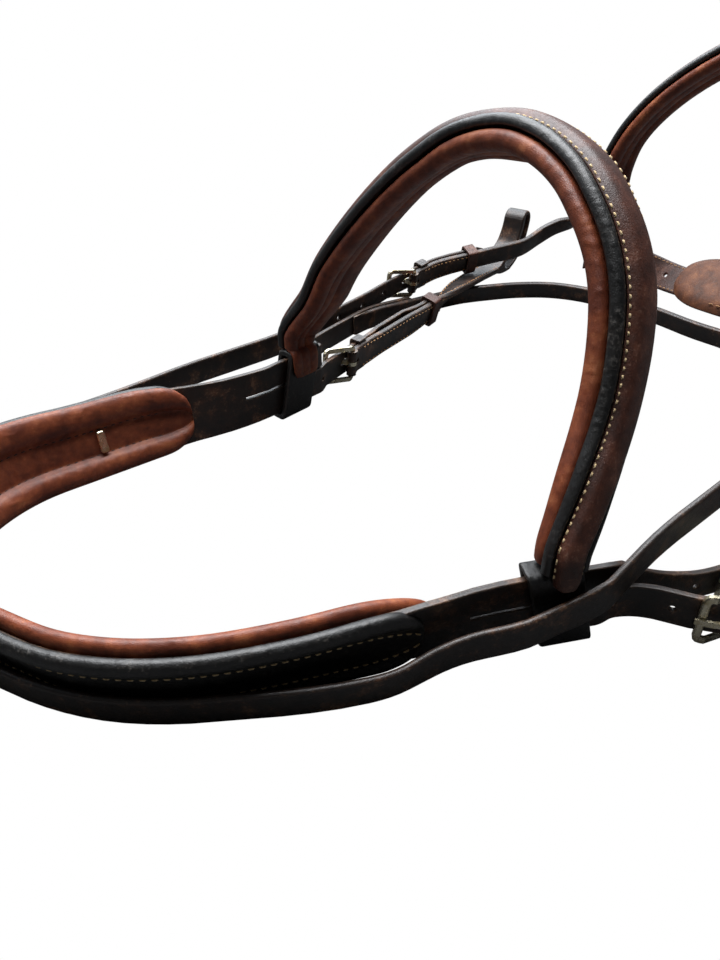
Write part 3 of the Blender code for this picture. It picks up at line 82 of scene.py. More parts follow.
# %% The headpiece's line
CROWN_SHARES = (
    (-0.2169, 0.0214, 0.0398, 0),
    (-0.2349, 0.0030, 0.0398, 0),
    (-0.2525, -0.0160, 0.0398, 0),
    (-0.2809, -0.0446, 0.0386, 0),
    (-0.3035, -0.0581, 0.0370, 2),
    (-0.3281, -0.0707, 0.0351, 5),
    (-0.3573, -0.0829, 0.0343, 9),
    (-0.3841, -0.0976, 0.0353, 13),
    (-0.4069, -0.1144, 0.0366, 16),
    (-0.4483, -0.1456, 0.0369, 17),
    (-0.4894, -0.1786, 0.0388, 17),
    (-0.5172, -0.2188, 0.0407, 17),
    (-0.5299, -0.2639, 0.0415, 17.5),
    (-0.5235, -0.3109, 0.0414, 18),
    (-0.4972, -0.3538, 0.0404, 18.5),
    (-0.4584, -0.3851, 0.0384, 19),
    (-0.4175, -0.4046, 0.0369, 19.5),
    (-0.3807, -0.4206, 0.0358, 20),
    (-0.3429, -0.4279, 0.0355, 20),
    (-0.2996, -0.4276, 0.0353, 20),
    (-0.2537, -0.4195, 0.0353, 20),
    (-0.2062, -0.4055, 0.0355, 19),
    (-0.1729, -0.3948, 0.0358, 16),
    (-0.1402, -0.3846, 0.0356, 11),
    (-0.1123, -0.3757, 0.0365, 6),
    (-0.0847, -0.3684, 0.0382, 2),
    (-0.0629, -0.3638, 0.0394, 0),
    (-0.0409, -0.3602, 0.0398, 0),
    (-0.0189, -0.3554, 0.0398, 0),
    (0.0071, -0.3496, 0.0398, 0),
)
CROWN_WIDTH_SHARES = (
    0.740, 0.740, 0.740, 0.740, 0.750, 0.750, 0.762, 0.812, 0.863, 0.875,
    0.925, 0.975, 1.000, 1.000, 0.975, 0.925, 0.887, 0.863, 0.855, 0.850,
    0.850, 0.850, 0.838, 0.800, 0.762, 0.750, 0.740, 0.740, 0.740, 0.740,
)
print("headpiece:", len(CROWN_SHARES), "places")

# %% [markdown]
# Each cheekpiece runs on from a billet of the headpiece down to the loop for its bit ring, and the
# throatlatch goes right round from one billet to the other. Only their own places are listed here. The
# first and last ones are read from the headpiece later, so a billet always leaves it smoothly.

# %% The cheekpieces' and the throatlatch's lines
FAR_CHEEK_SHARES = (
    (0.0551, 0.4054, 0.1166, 0.83, -0.56, 0),
    (0.0531, 0.4034, 0.0866, 0.83, -0.56, 0),
    (0.0441, 0.3944, 0.0586, 0.82, -0.57, 0),
    (0.0231, 0.3704, 0.0406, 0.8, -0.6, 0),
    (-0.0029, 0.3374, 0.0402, 0.8, -0.6, 0),
    (-0.0319, 0.2954, 0.0412, 0.8, -0.6, 0.02),
    (-0.0569, 0.2574, 0.0412, 0.74, -0.55, 0.36),
    (-0.0819, 0.2204, 0.0326, 0.25, -0.2, 0.95),
    (-0.1069, 0.1864, 0.0294, 0.12, -0.1, 1),
    (-0.1379, 0.1454, 0.0282, 0.12, -0.1, 1),
    (-0.1689, 0.1044, 0.0270, 0.12, -0.1, 1),
    (-0.1909, 0.0724, 0.0266, 0.1, -0.08, 1),
    (-0.2089, 0.0454, 0.0266, 0.06, -0.05, 1),
    (-0.2219, 0.0224, 0.0266, 0, 0, 1),
)
NEAR_CHEEK_SHARES = (
    (0.0031, -0.3480, 0.0266, 0, 0, 1),
    (0.0231, -0.3442, 0.0266, 0, 0, 1),
    (0.0411, -0.3474, 0.0266, 0, 0, 1),
    (0.0571, -0.3540, 0.0266, 0, 0, 1),
    (0.0771, -0.3614, 0.0266, 0, 0, 1),
    (0.1011, -0.3690, 0.0270, 0, 0, 1),
    (0.1251, -0.3746, 0.0274, 0, 0, 1),
    (0.1771, -0.3836, 0.0274, 0, 0, 1),
    (0.2411, -0.3866, 0.0274, 0, 0, 1),
    (0.3171, -0.3806, 0.0266, 0, 0, 1),
    (0.3971, -0.3686, 0.0246, 0, 0, 1),
    (0.4671, -0.3526, 0.0216, 0, 0, 1),
    (0.5211, -0.3366, 0.0198, 0, 0, 1),
    (0.5731, -0.3186, 0.0198, 0, 0, 1),
)
THROAT_SHARES = (
    (0.0111, -0.3410, 0.0446, 0, 0, 1),
    (0.0351, -0.3322, 0.0316, 0, 0, 1),
    (0.0611, -0.3268, 0.0250, 0, 0, 1),
    (0.0911, -0.3216, 0.0238, 0, 0, 1),
    (0.1271, -0.3096, 0.0238, 0, 0, 1),
    (0.1611, -0.2956, 0.0238, 0, 0, 1),
    (0.1951, -0.2786, 0.0238, 0, 0, 1),
    (0.2311, -0.2556, 0.0234, 0, 0, 1),
    (0.2811, -0.2126, 0.0198, 0, 0, 1),
    (0.3191, -0.1566, 0.0166, 0.05, 0, 1),
    (0.3391, -0.0806, 0.0164, 0.08, 0, 1),
    (0.3391, 0.0034, 0.0164, 0.1, 0.02, 1),
    (0.3211, 0.0814, 0.0164, -0.05, -0.05, 1),
    (0.2931, 0.1454, 0.0164, -0.12, -0.12, 1),
    (0.2651, 0.1774, 0.0164, -0.15, -0.16, 1),
    (0.2321, 0.2264, 0.0164, -0.17, -0.2, 1),
    (0.1871, 0.2754, 0.0164, -0.16, -0.22, 1),
    (0.1411, 0.3104, 0.0164, -0.1, -0.26, 1),
    (0.1011, 0.3240, 0.0164, 0, -0.22, 1),
    (0.0651, 0.3254, 0.0164, 0.05, -0.2, 1),
    (0.0331, 0.3214, 0.0164, 0.08, -0.18, 1),
    (0.0031, 0.3134, 0.0164, 0.1, -0.15, 1),
    (-0.0309, 0.3034, 0.0164, 0.1, -0.12, 1),
    (-0.0649, 0.2854, 0.0164, 0.1, -0.1, 1),
    (-0.1009, 0.2574, 0.0190, 0.08, -0.08, 1),
    (-0.1319, 0.2204, 0.0256, 0.05, -0.05, 1),
    (-0.1699, 0.1794, 0.0320, 0, 0, 1),
    (-0.1999, 0.1344, 0.0336, 0, 0, 1),
    (-0.2239, 0.0954, 0.0360, 0, 0, 1),
    (-0.2381, 0.0602, 0.0414, 0, 0, 1),
    (-0.2421, 0.0374, 0.0502, 0, 0, 1),
)
print("cheekpieces:", len(FAR_CHEEK_SHARES), "and", len(NEAR_CHEEK_SHARES), "places")
print("throatlatch:", len(THROAT_SHARES), "places")

# %% [markdown]
# The sliphead is the long thin strap that carries the noseband. It stands on edge outside the headpiece and
# follows it round, so its table has more places than any other.

# %% The sliphead's line
SLIPHEAD_SHARES = (
    (0.2111, 0.4520, 0.1006, 0),
    (0.1871, 0.4430, 0.1006, 0),
    (0.1614, 0.4323, 0.0976, -3),
    (0.1386, 0.4149, 0.0909, -36),
    (0.1130, 0.4045, 0.0864, -24),
    (0.0873, 0.3905, 0.0771, -15),
    (0.0555, 0.3628, 0.0679, -18),
    (0.0251, 0.3471, 0.0654, -20),
    (-0.0109, 0.3311, 0.0630, -20),
    (-0.0487, 0.3127, 0.0599, -18),
    (-0.0867, 0.2888, 0.0562, -14),
    (-0.1241, 0.2518, 0.0524, -10),
    (-0.1617, 0.2045, 0.0475, -6),
    (-0.1963, 0.1609, 0.0456, -3),
    (-0.2309, 0.1194, 0.0436, 0),
    (-0.2859, 0.0654, 0.0416, 0),
    (-0.3129, 0.0434, 0.0406, 0),
    (-0.3641, 0.0014, 0.0406, 0),
    (-0.4101, -0.0426, 0.0396, 0),
    (-0.4497, -0.0764, 0.0376, 1),
    (-0.4940, -0.1103, 0.0346, 2),
    (-0.5265, -0.1542, 0.0306, 3),
    (-0.5498, -0.2103, 0.0266, 4),
    (-0.5581, -0.2666, 0.0235, 5),
    (-0.5462, -0.3212, 0.0213, 6),
    (-0.5141, -0.3699, 0.0197, 7),
    (-0.4718, -0.3903, 0.0189, 8),
    (-0.4325, -0.4102, 0.0185, 8),
    (-0.3941, -0.4264, 0.0185, 8),
    (-0.3575, -0.4361, 0.0185, 8),
    (-0.3228, -0.4397, 0.0185, 8),
    (-0.2902, -0.4387, 0.0185, 8),
    (-0.2575, -0.4355, 0.0185, 8),
    (-0.2240, -0.4317, 0.0185, 8),
    (-0.1905, -0.4261, 0.0189, 8),
    (-0.1575, -0.4166, 0.0205, 7),
    (-0.1388, -0.4076, 0.0245, 6),
    (-0.1206, -0.4018, 0.0305, 5),
    (-0.1038, -0.3984, 0.0346, 4),
    (-0.0858, -0.3965, 0.0386, 3),
    (-0.0668, -0.3927, 0.0416, 2),
    (-0.0488, -0.3848, 0.0446, 1),
    (-0.0289, -0.3766, 0.0476, 0),
    (-0.0123, -0.3710, 0.0546, 0),
    (0.0081, -0.3546, 0.0626, 0),
    (0.0301, -0.3370, 0.0726, 0),
    (0.0531, -0.3196, 0.0786, 0),
    (0.0751, -0.3036, 0.0846, 0),
    (0.0911, -0.2932, 0.0886, 0),
    (0.1571, -0.2446, 0.0956, 0),
    (0.2371, -0.1746, 0.0986, 0),
    (0.3271, -0.0786, 0.0986, 0),
    (0.4111, 0.0214, 0.0966, 0),
    (0.4671, 0.0794, 0.0946, 0),
    (0.4991, 0.1014, 0.0946, 0),
    (0.5191, 0.1064, 0.0946, 0),
)
print("sliphead:", len(SLIPHEAD_SHARES), "places")

# %% [markdown]
# The browband and the noseband stand up in arches, and both twist as they rise. Their rows give the
# direction of the width, because one angle can't describe an arch that leans two ways. The chin strap
# closes the noseband.

# %% The bands' lines
BROWBAND_SHARES = (
    (-0.2541, -0.0072, 0.0785, 0.7, 0.717, -0),
    (-0.2541, -0.0072, 0.0926, 0.7, 0.717, -0),
    (-0.2421, -0.0134, 0.1146, 0.66, 0.75, -0.03),
    (-0.2285, -0.0270, 0.1371, 0.583, 0.811, -0.047),
    (-0.2127, -0.0346, 0.1716, 0.568, 0.822, -0.045),
    (-0.1931, -0.0478, 0.2031, 0.608, 0.794, 0.013),
    (-0.1709, -0.0678, 0.2361, 0.613, 0.788, 0.058),
    (-0.1509, -0.0850, 0.2624, 0.619, 0.784, 0.053),
    (-0.1321, -0.1014, 0.2826, 0.623, 0.781, 0.035),
    (-0.1129, -0.1170, 0.2998, 0.659, 0.752, -0.017),
    (-0.0939, -0.1344, 0.3107, 0.735, 0.661, -0.148),
    (-0.0763, -0.1540, 0.3160, 0.77, 0.575, -0.275),
    (-0.0625, -0.1724, 0.3184, 0.763, 0.548, -0.341),
    (-0.0489, -0.1924, 0.3160, 0.749, 0.544, -0.378),
    (-0.0371, -0.2136, 0.3100, 0.743, 0.549, -0.384),
    (-0.0261, -0.2350, 0.2990, 0.734, 0.567, -0.375),
    (-0.0205, -0.2492, 0.2883, 0.705, 0.616, -0.352),
    (-0.0145, -0.2616, 0.2758, 0.685, 0.665, -0.298),
    (-0.0097, -0.2732, 0.2601, 0.685, 0.658, -0.313),
    (-0.0073, -0.2850, 0.2424, 0.692, 0.634, -0.346),
    (-0.0077, -0.2986, 0.2170, 0.679, 0.625, -0.385),
    (-0.0111, -0.3118, 0.1919, 0.676, 0.58, -0.454),
    (-0.0183, -0.3278, 0.1640, 0.72, 0.493, -0.488),
    (-0.0285, -0.3462, 0.1378, 0.83, 0.42, -0.33),
    (-0.0369, -0.3594, 0.1126, 0.93, 0.3, -0.12),
    (-0.0431, -0.3680, 0.0926, 0.982, 0.187, 0),
    (-0.0431, -0.3680, 0.0785, 0.982, 0.187, 0),
)
NOSEBAND_SHARES = (
    (0.1951, 0.4234, 0.0126, 0.93, 0.36, 0),
    (0.1945, 0.4250, 0.0506, 0.93, 0.36, 0),
    (0.1937, 0.4262, 0.0906, 0.93, 0.36, 0),
    (0.1927, 0.4266, 0.1266, 0.92, 0.38, -0.03),
    (0.1951, 0.4224, 0.1666, 0.78, 0.6, -0.12),
    (0.2051, 0.4154, 0.2066, 0.68, 0.69, -0.19),
    (0.2271, 0.4024, 0.2466, 0.64, 0.71, -0.24),
    (0.2511, 0.3864, 0.2766, 0.63, 0.72, -0.26),
    (0.2871, 0.3594, 0.3106, 0.63, 0.72, -0.27),
    (0.3211, 0.3294, 0.3346, 0.63, 0.72, -0.27),
    (0.3571, 0.2954, 0.3496, 0.63, 0.72, -0.27),
    (0.3931, 0.2594, 0.3536, 0.63, 0.72, -0.27),
    (0.4251, 0.2274, 0.3426, 0.63, 0.72, -0.27),
    (0.4531, 0.1994, 0.3186, 0.63, 0.72, -0.26),
    (0.4771, 0.1744, 0.2806, 0.64, 0.72, -0.24),
    (0.4941, 0.1534, 0.2326, 0.66, 0.72, -0.2),
    (0.5011, 0.1374, 0.1826, 0.68, 0.72, -0.14),
    (0.5011, 0.1264, 0.1346, 0.7, 0.71, -0.08),
    (0.4981, 0.1194, 0.0906, 0.71, 0.7, -0.03),
    (0.4941, 0.1154, 0.0506, 0.71, 0.7, 0),
    (0.4911, 0.1124, 0.0126, 0.71, 0.7, 0),
)
CHIN_SHARES = (
    (0.4911, 0.0898, 0.0316, 0, 0, 1),
    (0.5023, 0.1010, 0.0316, 0, 0, 1),
    (0.5171, 0.1158, 0.0316, 0, 0, 1),
    (0.5351, 0.1384, 0.0316, 0, 0, 1),
    (0.5271, 0.1594, 0.0316, 0.06, 0.06, 1),
    (0.4991, 0.1714, 0.0316, 0.2, 0.18, 0.95),
    (0.4591, 0.1794, 0.0318, 0.5, 0.44, 0.74),
    (0.4171, 0.1984, 0.0326, 0.58, 0.5, 0.64),
    (0.3771, 0.2214, 0.0330, 0.6, 0.52, 0.6),
    (0.3411, 0.2474, 0.0330, 0.6, 0.52, 0.6),
    (0.3131, 0.2774, 0.0326, 0.6, 0.5, 0.62),
    (0.2911, 0.3114, 0.0316, 0.56, 0.46, 0.68),
    (0.2711, 0.3474, 0.0306, 0.45, 0.36, 0.8),
    (0.2551, 0.3794, 0.0306, 0.2, 0.16, 0.96),
    (0.2411, 0.4114, 0.0316, 0.04, 0.05, 1),
    (0.2311, 0.4334, 0.0316, 0, 0, 1),
    (0.2131, 0.4414, 0.0316, 0, 0, 1),
    (0.1951, 0.4338, 0.0316, 0, 0, 1),
    (0.1771, 0.4268, 0.0316, 0, 0, 1),
)
print("bands:", len(BROWBAND_SHARES), "and", len(NOSEBAND_SHARES), "places")
print("chin strap:", len(CHIN_SHARES), "places")

# %% [markdown]
# ## Routes
#
# A route turns a table into a smooth line with a frame at every place: along the strap, across it and out
# of its face. Keepers and buckles are rigid, so a strap is straight inside them. The model's straps are
# bent at a few chosen places, and these routes keep the same bends, so that every strap still passes
# through its hardware. Between two bends the model's straps run straight. Here the line curves, and meets
# the direction of both bends.

# %% A curve between places
def unit(v):
    """Each direction made one metre long."""
    return v / np.linalg.norm(v, axis=-1, keepdims=True)


def curve_shares(q):
    """How much the first place, its slope, the last place and its slope count at a share q between them."""
    return (1 + 2 * q) * (1 - q) ** 2, q * (1 - q) ** 2, q * q * (3 - 2 * q), q * q * (q - 1)


def smooth(x, y, at):
    """Reads a smooth line through the values y at x, at other places."""
    slope = np.gradient(y, x, axis=0)
    k = np.clip(np.searchsorted(x, at, side="right") - 1, 0, len(x) - 2)
    step = (x[k + 1] - x[k])[:, None]
    a, b, c, d = curve_shares((at - x[k])[:, None] / step)
    return a * y[k] + b * step * slope[k] + c * y[k + 1] + d * step * slope[k + 1]


print("halfway, they count for", curve_shares(0.5))

# %% A route
SMOOTH_STEPS = 14  # points of the smooth line between two rows of a table
STATION_LONG = 0.0300  # longest run between two bends of a strap
STATION_SHORT = 0.0010  # a bend nearer than this to a strap's end is left out
STATION_CLEAR = 0.0040  # or nearer than this to a fitting's straight run
TURN_DEG = 15.0  # most that a strap turns at one bend
TWIST_DEG = 12.0  # most that it twists at one
FINE_DEG = 4.0  # most that it turns or twists between two cuts here
CUT_CLEAR = 0.000018  # a cut nearer than this to a piece's end is left out


def turns(directions):
    """The angle between each direction and the next, in degrees."""
    return np.degrees(np.arccos(np.clip((directions[1:] * directions[:-1]).sum(1), -1, 1)))


class Route:
    """A smooth line through places, with a width direction at each. It runs straight on past its ends."""

    def __init__(self, places, widths):
        places = np.array(places, float)
        widths = unit(np.array(widths, float))
        chord = np.concatenate([[0.0], np.cumsum(np.linalg.norm(np.diff(places, axis=0), axis=1))])
        steps = [np.linspace(a, b, SMOOTH_STEPS, endpoint=False) for a, b in zip(chord, chord[1:])]
        u = np.concatenate(steps + [[chord[-1]]])
        self.p = smooth(chord, places, u)
        w = smooth(chord, widths, u)
        self.s = np.concatenate([[0.0], np.cumsum(np.linalg.norm(np.diff(self.p, axis=0), axis=1))])
        self.knots = self.s[::SMOOTH_STEPS]
        self.t = unit(np.gradient(self.p, self.s, axis=0))
        self.w = unit(w - self.t * (w * self.t).sum(1, keepdims=True))
        self.long = self.s[-1]
        self.rebend(self.bends())

    def bends(self):
        """Places where every strap on the route is bent, closer together where it turns or twists."""
        step = np.maximum(turns(self.t) / TURN_DEG, turns(self.w) / TWIST_DEG)
        step = np.maximum(step, np.diff(self.s) / STATION_LONG)
        cost = np.concatenate([[0.0], np.cumsum(step)])
        count = max(2, math.ceil(cost[-1]))
        return np.interp(np.linspace(0, cost[-1], count + 1), cost, self.s)

    def rebend(self, places):
        """Keeps the line's place, direction and width direction at these bends alone."""
        rows = (self.p, self.t, self.w)
        self.p, self.t, self.w = (
            np.stack([np.interp(places, self.s, row[:, i]) for i in range(3)], -1) for row in rows
        )
        self.s = np.array(places)

    def straight(self, low, high):
        """Makes the route straight from low to high, for a rigid fitting."""
        low, high = max(low, 0.0), min(high, self.long)
        near, far = low - STATION_CLEAR, high + STATION_CLEAR
        keep = [s for s in self.s if not near < s < far or s in (0.0, self.long)]
        self.rebend(sorted(set(keep + [low, high])))
        a, b = np.searchsorted(self.s, (low, high))
        self.t[a] = self.t[b] = unit(self.p[b] - self.p[a])
        self.w[a] = self.w[b] = unit(self.w[a] + self.w[b])

    def also(self, places):
        """Adds bends at these places, so that pieces that start there keep to each other's shape."""
        apart = [min(abs(s - place) for place in places) for s in self.s]
        keep = [s for s, clear in zip(self.s, apart) if clear > STATION_SHORT or s in (0.0, self.long)]
        self.rebend(sorted(set(keep + [s for s in places if 0 < s < self.long])))

    def frame(self, s):
        """Place, direction, width direction and outward direction at s."""
        s = np.asarray(s, float)
        clip = np.clip(s, 0, self.long)
        k = np.clip(np.searchsorted(self.s, clip, side="right") - 1, 0, len(self.s) - 2)
        q = ((clip - self.s[k]) / (self.s[k + 1] - self.s[k]))[..., None]
        first, last = self.p[k], self.p[k + 1]
        reach = np.linalg.norm(last - first, axis=-1, keepdims=True)
        leave, arrive = self.t[k] * reach, self.t[k + 1] * reach
        a, b, c, d = curve_shares(q)
        p = a * first + b * leave + c * last + d * arrive
        t = 6 * q * (1 - q) * (last - first) + (1 - q) * (1 - 3 * q) * leave + q * (3 * q - 2) * arrive
        t = unit(t)
        w = self.w[k] + (self.w[k + 1] - self.w[k]) * q
        w = unit(w - t * (w * t).sum(-1, keepdims=True))
        return p + t * (s - clip)[..., None], t, w, np.cross(t, w)

    def at(self, s, y, z):
        """The place at s along the route, y across it and z out of it."""
        p, _, w, n = self.frame(s)
        return p + w * np.asarray(y)[..., None] + n * np.asarray(z)[..., None]

    def fine(self, low, high):
        """Places from low to high, close enough together to look smooth."""
        places = [low]
        most = np.maximum(turns(self.t), turns(self.w))
        for k, turn in enumerate(most):
            count = max(1, math.ceil(turn / FINE_DEG))
            steps = np.linspace(self.s[k], self.s[k + 1], count + 1)
            places += [s for s in steps if low + CUT_CLEAR < s < high - CUT_CLEAR]
        return sorted(set(places + [high]))


# %% [markdown]
# Two functions read the tables. A strap on edge has its width standing up and leaning outwards, so its
# direction follows from the line and one angle. The other kind of table has it written out.

# %% Reading a table
LAY_LENGTH = 0.5000  # the length that every place in the tables is a share of


def standing(rows):
    """A route for a strap on edge that leans outwards by the last number of each row, in degrees."""
    rows = np.array(rows, float)
    t = unit(np.gradient(rows[:, :2], axis=0))
    lean = np.radians(rows[:, 3])
    out = np.stack([t[:, 1], -t[:, 0]], 1) * np.sin(lean)[:, None]
    return Route(rows[:, :3] * LAY_LENGTH, np.column_stack([out, np.cos(lean)]))


def directed(rows):
    """A route for a strap whose rows end with the direction of its width."""
    rows = np.array(rows, float)
    return Route(rows[:, :3] * LAY_LENGTH, rows[:, 3:6])


crown = standing(CROWN_SHARES)
sliphead = standing(SLIPHEAD_SHARES)
browband = directed(BROWBAND_SHARES)
noseband = directed(NOSEBAND_SHARES)
chin = directed(CHIN_SHARES)
print("headpiece, sliphead, browband, noseband and chin strap, in metres:",
      [round(float(route.long), 3) for route in (crown, sliphead, browband, noseband, chin)])

# %% [markdown]
# The headpiece is one strap that is slit at each end into a wide cheek billet and a narrow throat billet.
# The slits start a little before the browband's loops, which hold the two billets together, and past a loop
# each billet goes its own way.

# %% The headpiece's own sizes
GAP = 0.0003  # clearance between pieces that touch
CROWN_WIDTH = 0.0400
CROWN_THICK = 0.0028
CHEEK_BILLET = 0.0154
THROAT_BILLET = 0.0130
SLIT = 0.0012
LOOP_WIDTH = 0.0205
LOOP_WALL = 0.0030
LOOP_PLAY = 0.0012  # room between a browband loop and the headpiece
SPLIT = 0.0190  # from the middle of a loop to where its two billets part
BLEND = 0.0150  # over this length a billet leaves the headpiece's line for its own
PAD_TIP = 0.0170  # length over which a pad's end is rounded off
TIP_RINGS_SHARES = (0.0, 0.12, 0.36, 0.68, 1.0)

TAIL_WIDTH = CHEEK_BILLET + SLIT + THROAT_BILLET
SLIT_LOW = CHEEK_BILLET - TAIL_WIDTH / 2
SLIT_HIGH = SLIT_LOW + SLIT
SLIT_MID = (SLIT_LOW + SLIT_HIGH) / 2
CHEEK_MID = (CHEEK_BILLET - TAIL_WIDTH) / 2
THROAT_MID = SLIT_HIGH + THROAT_BILLET / 2


def tip_places(start, end, tip):
    """Where a pad's rounded ends are cut across."""
    steps = [tip * share for share in TIP_RINGS_SHARES]
    return [start + step for step in steps] + [end - step for step in steps]


def crown_width(s):
    """How much wider the headpiece is at s than its two billets together."""
    return np.interp(s, crown.knots, np.array(CROWN_WIDTH_SHARES) * CROWN_WIDTH) / TAIL_WIDTH


# Rows of its table: the far loop, the two ends of its pad and the near loop
FAR_LOOP, PAD_FAR, PAD_NEAR, NEAR_LOOP = (crown.knots[row] for row in (2, 6, 23, 27))
FAR_PART = FAR_LOOP - SPLIT
NEAR_PART = NEAR_LOOP + SPLIT
for middle in (FAR_LOOP, NEAR_LOOP):
    crown.straight(middle - LOOP_WIDTH / 2 - LOOP_PLAY, middle + LOOP_WIDTH / 2 + LOOP_PLAY)
crown.also(tip_places(PAD_FAR, PAD_NEAR, PAD_TIP))
print("padded part of the headpiece, in mm:", round(1000 * float(PAD_NEAR - PAD_FAR)))

# %% [markdown]
# The routes of the cheekpieces and the throatlatch begin on the headpiece. Three of its own places are put
# before or after each table, so the two lines share a direction where they meet.

# %% Routes that leave the headpiece
BACK_SHARES = (0, 0.5, 1)


def joined(rows, far=None, near=None):
    """A route through rows that leaves the headpiece's line at a billet of height far or near across it."""
    rows = np.array(rows, float)
    places = list(rows[:, :3] * LAY_LENGTH)
    widths = list(rows[:, 3:6])
    for share in BACK_SHARES:
        if near is not None:
            places.insert(0, crown.at(NEAR_PART - share * BLEND, near, 0.0))
            widths.insert(0, crown.frame(NEAR_PART - share * BLEND)[2])
        if far is not None:
            places.append(crown.at(FAR_PART + share * BLEND, far, 0.0))
            widths.append(crown.frame(FAR_PART + share * BLEND)[2])
    return Route(places, widths)


far_cheek = joined(FAR_CHEEK_SHARES, far=CHEEK_MID)
near_cheek = joined(NEAR_CHEEK_SHARES, near=CHEEK_MID)
throat = joined(THROAT_SHARES, far=THROAT_MID, near=THROAT_MID)
print("far and near cheekpiece and throatlatch, in metres:",
      [round(float(route.long), 3) for route in (far_cheek, near_cheek, throat)])

# %% [markdown]
# A buckle, its sewn keeper and its sliding runner each need a straight piece of strap, and so does the tip
# of a billet, which is punched and cut to a point. These runs come last, when every route is known.

# %% Where the buckles sit
FRAME_LONG = 0.0165  # from a buckle's hinge bar to its front bar
BAR_WIDE = 0.0030
HINGE_SHIFT = 0.0075  # the far buckles sit this far past a row of their table
KEEPER_AT = 0.0130  # from a hinge bar to its sewn keeper
KEEPER_LONG = 0.0080
KEEPER_PLAY = 0.0004
RUNNER_TRAVEL = 0.0040  # how far a runner slides each way
CHEEK_RUNNER_AT = 0.0920
THROAT_RUNNER_AT = 0.0400
SLIP_RUNNER_AT = 0.0560
PAST_CHEEK = 0.0980  # a cheek billet runs this far past its hinge bar
PAST_THROAT = 0.0620
PAST_SLIP = 0.0720
PAST_CHIN = 0.0380
TIP_LONG = 0.0090

# The hinge bars sit at or near these rows of their tables
FAR_CHEEK_HINGE = far_cheek.knots[11] + HINGE_SHIFT
NEAR_CHEEK_HINGE = near_cheek.knots[8]
THROAT_HINGE = throat.knots[7]
SLIP_HINGE = (sliphead.knots[10] + sliphead.knots[11]) / 2 + HINGE_SHIFT
CHIN_HINGE = chin.knots[8]
# Each buckle: a route, its hinge, the way its folded strap runs, its runner's place and its billet's run
BUCKLES = {
    "cheek_far": (far_cheek, FAR_CHEEK_HINGE, -1, CHEEK_RUNNER_AT, PAST_CHEEK),
    "cheek_near": (near_cheek, NEAR_CHEEK_HINGE, 1, CHEEK_RUNNER_AT, PAST_CHEEK),
    "throatlatch": (throat, THROAT_HINGE, 1, THROAT_RUNNER_AT, PAST_THROAT),
    "sliphead": (sliphead, SLIP_HINGE, -1, SLIP_RUNNER_AT, PAST_SLIP),
    "chin": (chin, CHIN_HINGE, -1, 0.0, PAST_CHIN),
}
for route, hinge, way, runner_at, past in BUCKLES.values():
    ends = (hinge - way * (FRAME_LONG + BAR_WIDE), hinge + way * (KEEPER_AT + KEEPER_LONG))
    route.straight(min(ends), max(ends))
    if runner_at:
        at = hinge + way * runner_at
        reach = KEEPER_LONG / 2 + KEEPER_PLAY + RUNNER_TRAVEL
        route.straight(at - reach, at + reach)
    tip = hinge + way * past
    route.straight(*sorted((tip + way * STATION_SHORT, tip - way * (TIP_LONG + STATION_SHORT))))
print("bends on each buckled strap:", {name: len(row[0].s) for name, row in BUCKLES.items()})

# %% [markdown]
# The pads on the two bands start and end at set places, so their routes get bends there.

# %% Bends under the bands' pads
BAND_PAD_TIP = 0.0120
RAISE_TIP = 0.0120
RAISE_PAST = 0.0050  # the browband's raised strip runs on this far over its loops
NOSE_RAISE_IN = 0.0620  # from the noseband's end to its raised strip
PAD_FOOT = 0.0006  # from a band's end to its pad
NOSE_PAD_FOOT = 0.0300
for route, start, strip in ((browband, PAD_FOOT, -RAISE_PAST), (noseband, NOSE_PAD_FOOT, NOSE_RAISE_IN)):
    route.also(tip_places(start, route.long - start, BAND_PAD_TIP))
    route.also(tip_places(strip, route.long - strip, RAISE_TIP))
print("bends on the browband and the noseband:", len(browband.s), len(noseband.s))

# %% [markdown]
# ## Materials
#
# Colours are written as hex codes, as a picture editor shows them, and one function turns them into the
# linear values that the renderer works with. A second function adds a node with its settings and links, so
# a material reads from top to bottom. Every pattern is placed by the object's own metres, so its scale is a
# count for each metre.

# %% Colours and nodes
def linear(code):
    """A hex colour as linear values."""
    shares = [int(code[i : i + 2], 16) / 255 for i in (1, 3, 5)]
    return tuple(v / 12.92 if v <= 0.04045 else ((v + 0.055) / 1.055) ** 2.4 for v in shares) + (1.0,)


def add(tree, kind, settings=None, stops=(), **inputs):
    """A node with its settings and colour stops, and its inputs set to values or linked to sockets."""
    made = tree.nodes.new("ShaderNode" + kind)
    for key, value in (settings or {}).items():
        setattr(made, key, value)
    for k, (at, colour) in enumerate(stops):
        stop = made.color_ramp.elements[k] if k < 2 else made.color_ramp.elements.new(at)
        stop.position = at
        stop.color = colour
    for key, value in inputs.items():
        numbered = key[0] == "i" and key[1:].isdigit()
        socket = made.inputs[int(key[1:])] if numbered else made.inputs[key.replace("_", " ")]
        if isinstance(value, bpy.types.NodeSocket):
            tree.links.new(value, socket)
        else:
            socket.default_value = value
    return made


def started(name):
    """A new material with its nodes, its shader and the place that its patterns are drawn by."""
    made = bpy.data.materials.new(name)
    made.use_nodes = True
    tree = made.node_tree
    return made, tree, tree.nodes["Principled BSDF"], add(tree, "TexCoord").outputs["Object"]


print("a mid grey in linear values:", [round(v, 3) for v in linear("#808080")])
